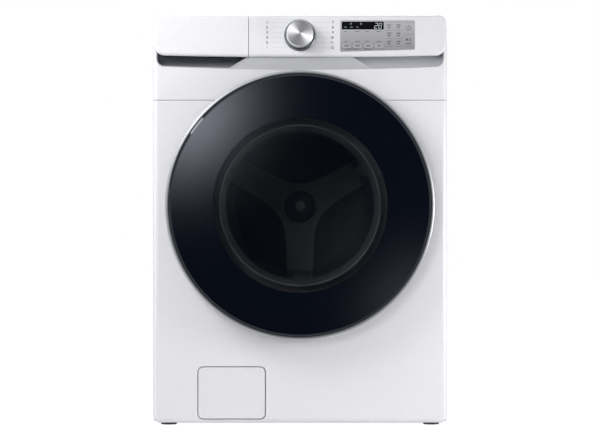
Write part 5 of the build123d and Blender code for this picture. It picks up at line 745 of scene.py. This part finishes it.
dark_ink = screen_ink("dark_grey_screen_ink", "3C3D44", "46474E")
pale_ink = screen_ink("pale_grey_screen_ink", "BDBEC4", "C6C7CC")
print("inks ready")

# %% [markdown]
# ## Figures round the dial
# Six programme numbers stand on each side of the dial, in a column at the left and one at the right, and a fine
# line runs from each to the dial's ring. The top line of each side ends in a short slant towards the ring.

# %% Dial figures
LABEL_X = 0.0785             # outer edge of both columns of numbers, from the dial's axis
LABEL_TOP = 0.9399
LABEL_DROP = 0.01184         # from one line to the next
FIGURE_SIZE = 0.0076
LINE_W = 0.0005
RING_CLEAR = 0.0405          # where the lines end, from the dial's axis
FIGURE_ROOM = 0.0115         # kept free of the line for the widest number
SLANT = 0.0032
ROWS = 6

figures, lines = [], []
for row in range(ROWS):
    z = LABEL_TOP - row * LABEL_DROP
    reach = sqrt(RING_CLEAR ** 2 - (z - knob_centre.z) ** 2)
    for side, align, number in ((-1, "LEFT", row + 1), (1, "RIGHT", row + 1 + ROWS)):
        figures.append(ink_text(str(number), side * LABEL_X, z, FIGURE_SIZE, align))
        inner = reach + SLANT if row == 0 else reach
        lines.append(ink_bar((side * inner, z), (side * (LABEL_X - FIGURE_ROOM), z), LINE_W))
        if row == 0:
            lines.append(ink_bar((side * reach, z - SLANT), (side * inner, z), LINE_W))
printed("dial_figures", figures, dark_ink, "cabinet")
printed("dial_leader_lines", lines, pale_ink, "cabinet")

# %% [markdown]
# ## Marks on the key film
# The film carries two columns of three touch keys, and a power key and a start key beside them. Each small key is
# marked with two rows of small blocks, which say nothing, and the two large keys with the usual symbols: a ring
# open at the top with a stroke through it, and a triangle beside two bars. The triangle is built from six bars.

# %% Key marks
FILM_PROUD = 0.0002 + INK_GAP
BLOCK_GAP = 0.35             # gap between two blocks, as a share of a block
RING_STEPS = 20


def blocks(x, z, count, wide, high, proud=FILM_PROUD):
    """A row of small upright blocks of ink round the middle (x, z)."""
    pitch = wide * (1 + BLOCK_GAP)
    first = x - pitch * (count - 1) / 2
    middles = [first + number * pitch for number in range(count)]
    return [ink_bar((middle - wide / 2, z), (middle + wide / 2, z), high, proud) for middle in middles]


def ring(x, z, radius, stroke, opening, proud=FILM_PROUD):
    """A ring of ink, open at the top by an angle of opening degrees."""
    sweep = 2 * pi - radians(opening)
    angles = [pi + sweep * (step / RING_STEPS - 0.5) for step in range(RING_STEPS + 1)]
    points = [(x + radius * sin(angle), z + radius * cos(angle)) for angle in angles]
    return [ink_bar(near, far, stroke, proud) for near, far in zip(points, points[1:])]


KEY_COLUMNS = (0.2075, 0.2294)
KEY_ROWS = (0.9310, 0.9118, 0.8926)
ROW_OFFSET = 0.0027          # of a key's two rows of blocks from its middle
LETTER_W, LETTER_H = 0.0014, 0.0026
LARGE_X = 0.2527             # power and start keys
STROKE = 0.0011
POWER_Z, POWER_R, POWER_OPEN = 0.9268, 0.0052, 80
POWER_STROKE = (0.9275, 0.9330)
START_X, START_Z, START_HALF = LARGE_X - 0.0050, 0.8993, 0.0034
START_STEPS, START_BAR = 6, 0.0008
PAUSE_BARS = (LARGE_X + 0.0022, LARGE_X + 0.0048)
START_WORD_Z = 0.8897

marks = []
for column in KEY_COLUMNS:
    for row in KEY_ROWS:
        marks += blocks(column, row + ROW_OFFSET, 5, LETTER_W, LETTER_H)
        marks += blocks(column, row - ROW_OFFSET, 4, LETTER_W, LETTER_H)
marks += ring(LARGE_X, POWER_Z, POWER_R, STROKE, POWER_OPEN)
marks.append(ink_bar((LARGE_X, POWER_STROKE[0]), (LARGE_X, POWER_STROKE[1]), STROKE, FILM_PROUD))
for step in range(START_STEPS):
    x = START_X + step * START_BAR
    half = START_HALF * (1 - step / START_STEPS)
    marks.append(ink_bar((x, START_Z - half), (x, START_Z + half), START_BAR, FILM_PROUD))
for x in PAUSE_BARS:
    marks.append(ink_bar((x, START_Z - START_HALF), (x, START_Z + START_HALF), STROKE, FILM_PROUD))
marks += blocks(LARGE_X, START_WORD_Z, 7, LETTER_W, LETTER_H)
printed("key_marks", marks, dark_ink, "cabinet")

# %% [markdown]
# ## Rules, words and button marks
# Fine rules part the keys from each other. Between the display and the four buttons stand two rows of block words,
# a value and under it a name for each button, and a line of blocks runs below the buttons. Each button has a few
# blocks of its own.

# %% Rules, words and button marks
KEY_W = 0.0175
LARGE_KEY_W = KEY_W + 0.0036
SMALL_RULES = (0.9405, 0.9219, 0.9026, 0.8840)
LARGE_RULES = (0.9401, 0.9120, 0.8840)
RULE_W = 0.0006
VALUES = ((0.1057, 2), (0.1332, 4), (0.1560, 3), (0.1829, 4))   # x and number of blocks
VALUE_Z, NAME_Z, FOOTNOTE_Z = 0.9186, 0.8953, 0.8768
VALUE_BLOCK, NAME_BLOCK, FOOTNOTE_BLOCK = (0.0020, 0.0020), (0.0017, 0.0020), (0.0018, 0.0018)
NAME_SHIFT = 0.0010
FOOTNOTES = ((0.1205, 12), (0.1575, 7))
BUTTON_BLOCKS = (5, 5, 4, 3)
BUTTON_Z, BUTTON_PROUD = 0.8847, 0.0018 + INK_GAP
BUTTON_BLOCK = (0.0016, 0.0028)

rules = []
for column in (*KEY_COLUMNS, LARGE_X):
    large = column == LARGE_X
    half = (LARGE_KEY_W if large else KEY_W) / 2
    for z in LARGE_RULES if large else SMALL_RULES:
        rules.append(ink_bar((column - half, z), (column + half, z), RULE_W, FILM_PROUD))
for x, count in VALUES:
    rules += blocks(x, VALUE_Z, count, *VALUE_BLOCK)
    rules += blocks(x + NAME_SHIFT, NAME_Z, count + 1, *NAME_BLOCK)
for x, count in FOOTNOTES:
    rules += blocks(x, FOOTNOTE_Z, count, *FOOTNOTE_BLOCK)
printed("key_rules", rules, screen_ink("mid_grey_screen_ink", "5E5F66", "68696F"), "cabinet")

for number, count in enumerate(BUTTON_BLOCKS, start=1):
    button_low, button_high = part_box(f"push_button_{number}")
    middle = (button_low.x + button_high.x) / 2
    marks = blocks(middle, BUTTON_Z, count, *BUTTON_BLOCK, proud=BUTTON_PROUD)
    printed(f"button_{number}_mark", marks, dark_ink, f"push_button_{number}")

# %% [markdown]
# ## The lit display
# Behind the smoked acrylic are seven-segment digits and a few small lamps. A segment is a bar with pointed ends,
# and a digit is those of its seven segments that are lit, leaning 8 degrees. They are drawn on the window's face,
# pale and faintly glowing. The two digits are the minutes that are left.

# %% Display digits
DIGIT_H = 0.0126
DIGIT_W = 0.0064
DIGIT_STROKE = 0.0008
DIGIT_LEAN = tan(radians(8))
DIGIT_TRIM = 0.35            # gap at a segment's ends, as a share of its stroke
WINDOW_PROUD = 0.0004 + INK_GAP
DIGITS_Z = 0.9320
DIGITS = (("2", 0.1743), ("8", 0.1838))
# segments as (x, z) in widths and half heights: top, upper right, lower right, bottom, lower left, upper left, middle
SEGMENTS = (
    ((0, 1), (1, 1)), ((1, 0), (1, 1)), ((1, -1), (1, 0)), ((0, -1), (1, -1)), ((0, -1), (0, 0)), ((0, 0), (0, 1)),
    ((0, 0), (1, 0)),
)
LIT = {"2": (0, 1, 3, 4, 6), "8": (0, 1, 2, 3, 4, 5, 6)}


def digit(figure, x, z):
    """The lit segments of one digit, its left side at x and its middle at height z."""
    bars = []
    for number in LIT[figure]:
        ends = []
        for across, up in SEGMENTS[number]:
            rise = up * DIGIT_H / 2
            ends.append(Vector((x + across * DIGIT_W + rise * DIGIT_LEAN, z + rise)))
        trim = (ends[1] - ends[0]).normalized() * DIGIT_STROKE * DIGIT_TRIM
        bars.append(ink_bar(ends[0] + trim, ends[1] - trim, DIGIT_STROKE, WINDOW_PROUD, pointed=True))
    return bars


glow_ink, tree, shader = new_material("lit_display_segment", "D8DDE6", Roughness=0.5)
shader.inputs["Emission Color"].default_value = colour("D8DDE6")
shader.inputs["Emission Strength"].default_value = 0.25
shade(tree, shader, grain(tree, shader, 0.8, 0.001), "D2D8E2", "DEE2EA")
segments = []
for figure, x in DIGITS:
    segments += digit(figure, x, DIGITS_Z)
printed("display_digits", segments, glow_ink, "cabinet")

LAMP_ROWS = ((0.1057, 4), (0.1200, 4), (0.1332, 3))   # x and number of lamps
LAMP_Z, LAMP_SIZE = 0.9288, (0.0011, 0.0018)
ICONS_X, ICON_Z = (0.1189, 0.1423), 0.9365
ICON_R, ICON_STROKE = 0.0016, 0.0012

lamps = []
for x, count in LAMP_ROWS:
    lamps += blocks(x, LAMP_Z, count, *LAMP_SIZE, WINDOW_PROUD)
for x in ICONS_X:
    lamps += ring(x, ICON_Z, ICON_R, ICON_STROKE, 0, WINDOW_PROUD)
dim_ink = screen_ink("dim_display_segment", "8A8F99", "949AA4")
printed("display_lamps", lamps, dim_ink, "cabinet")
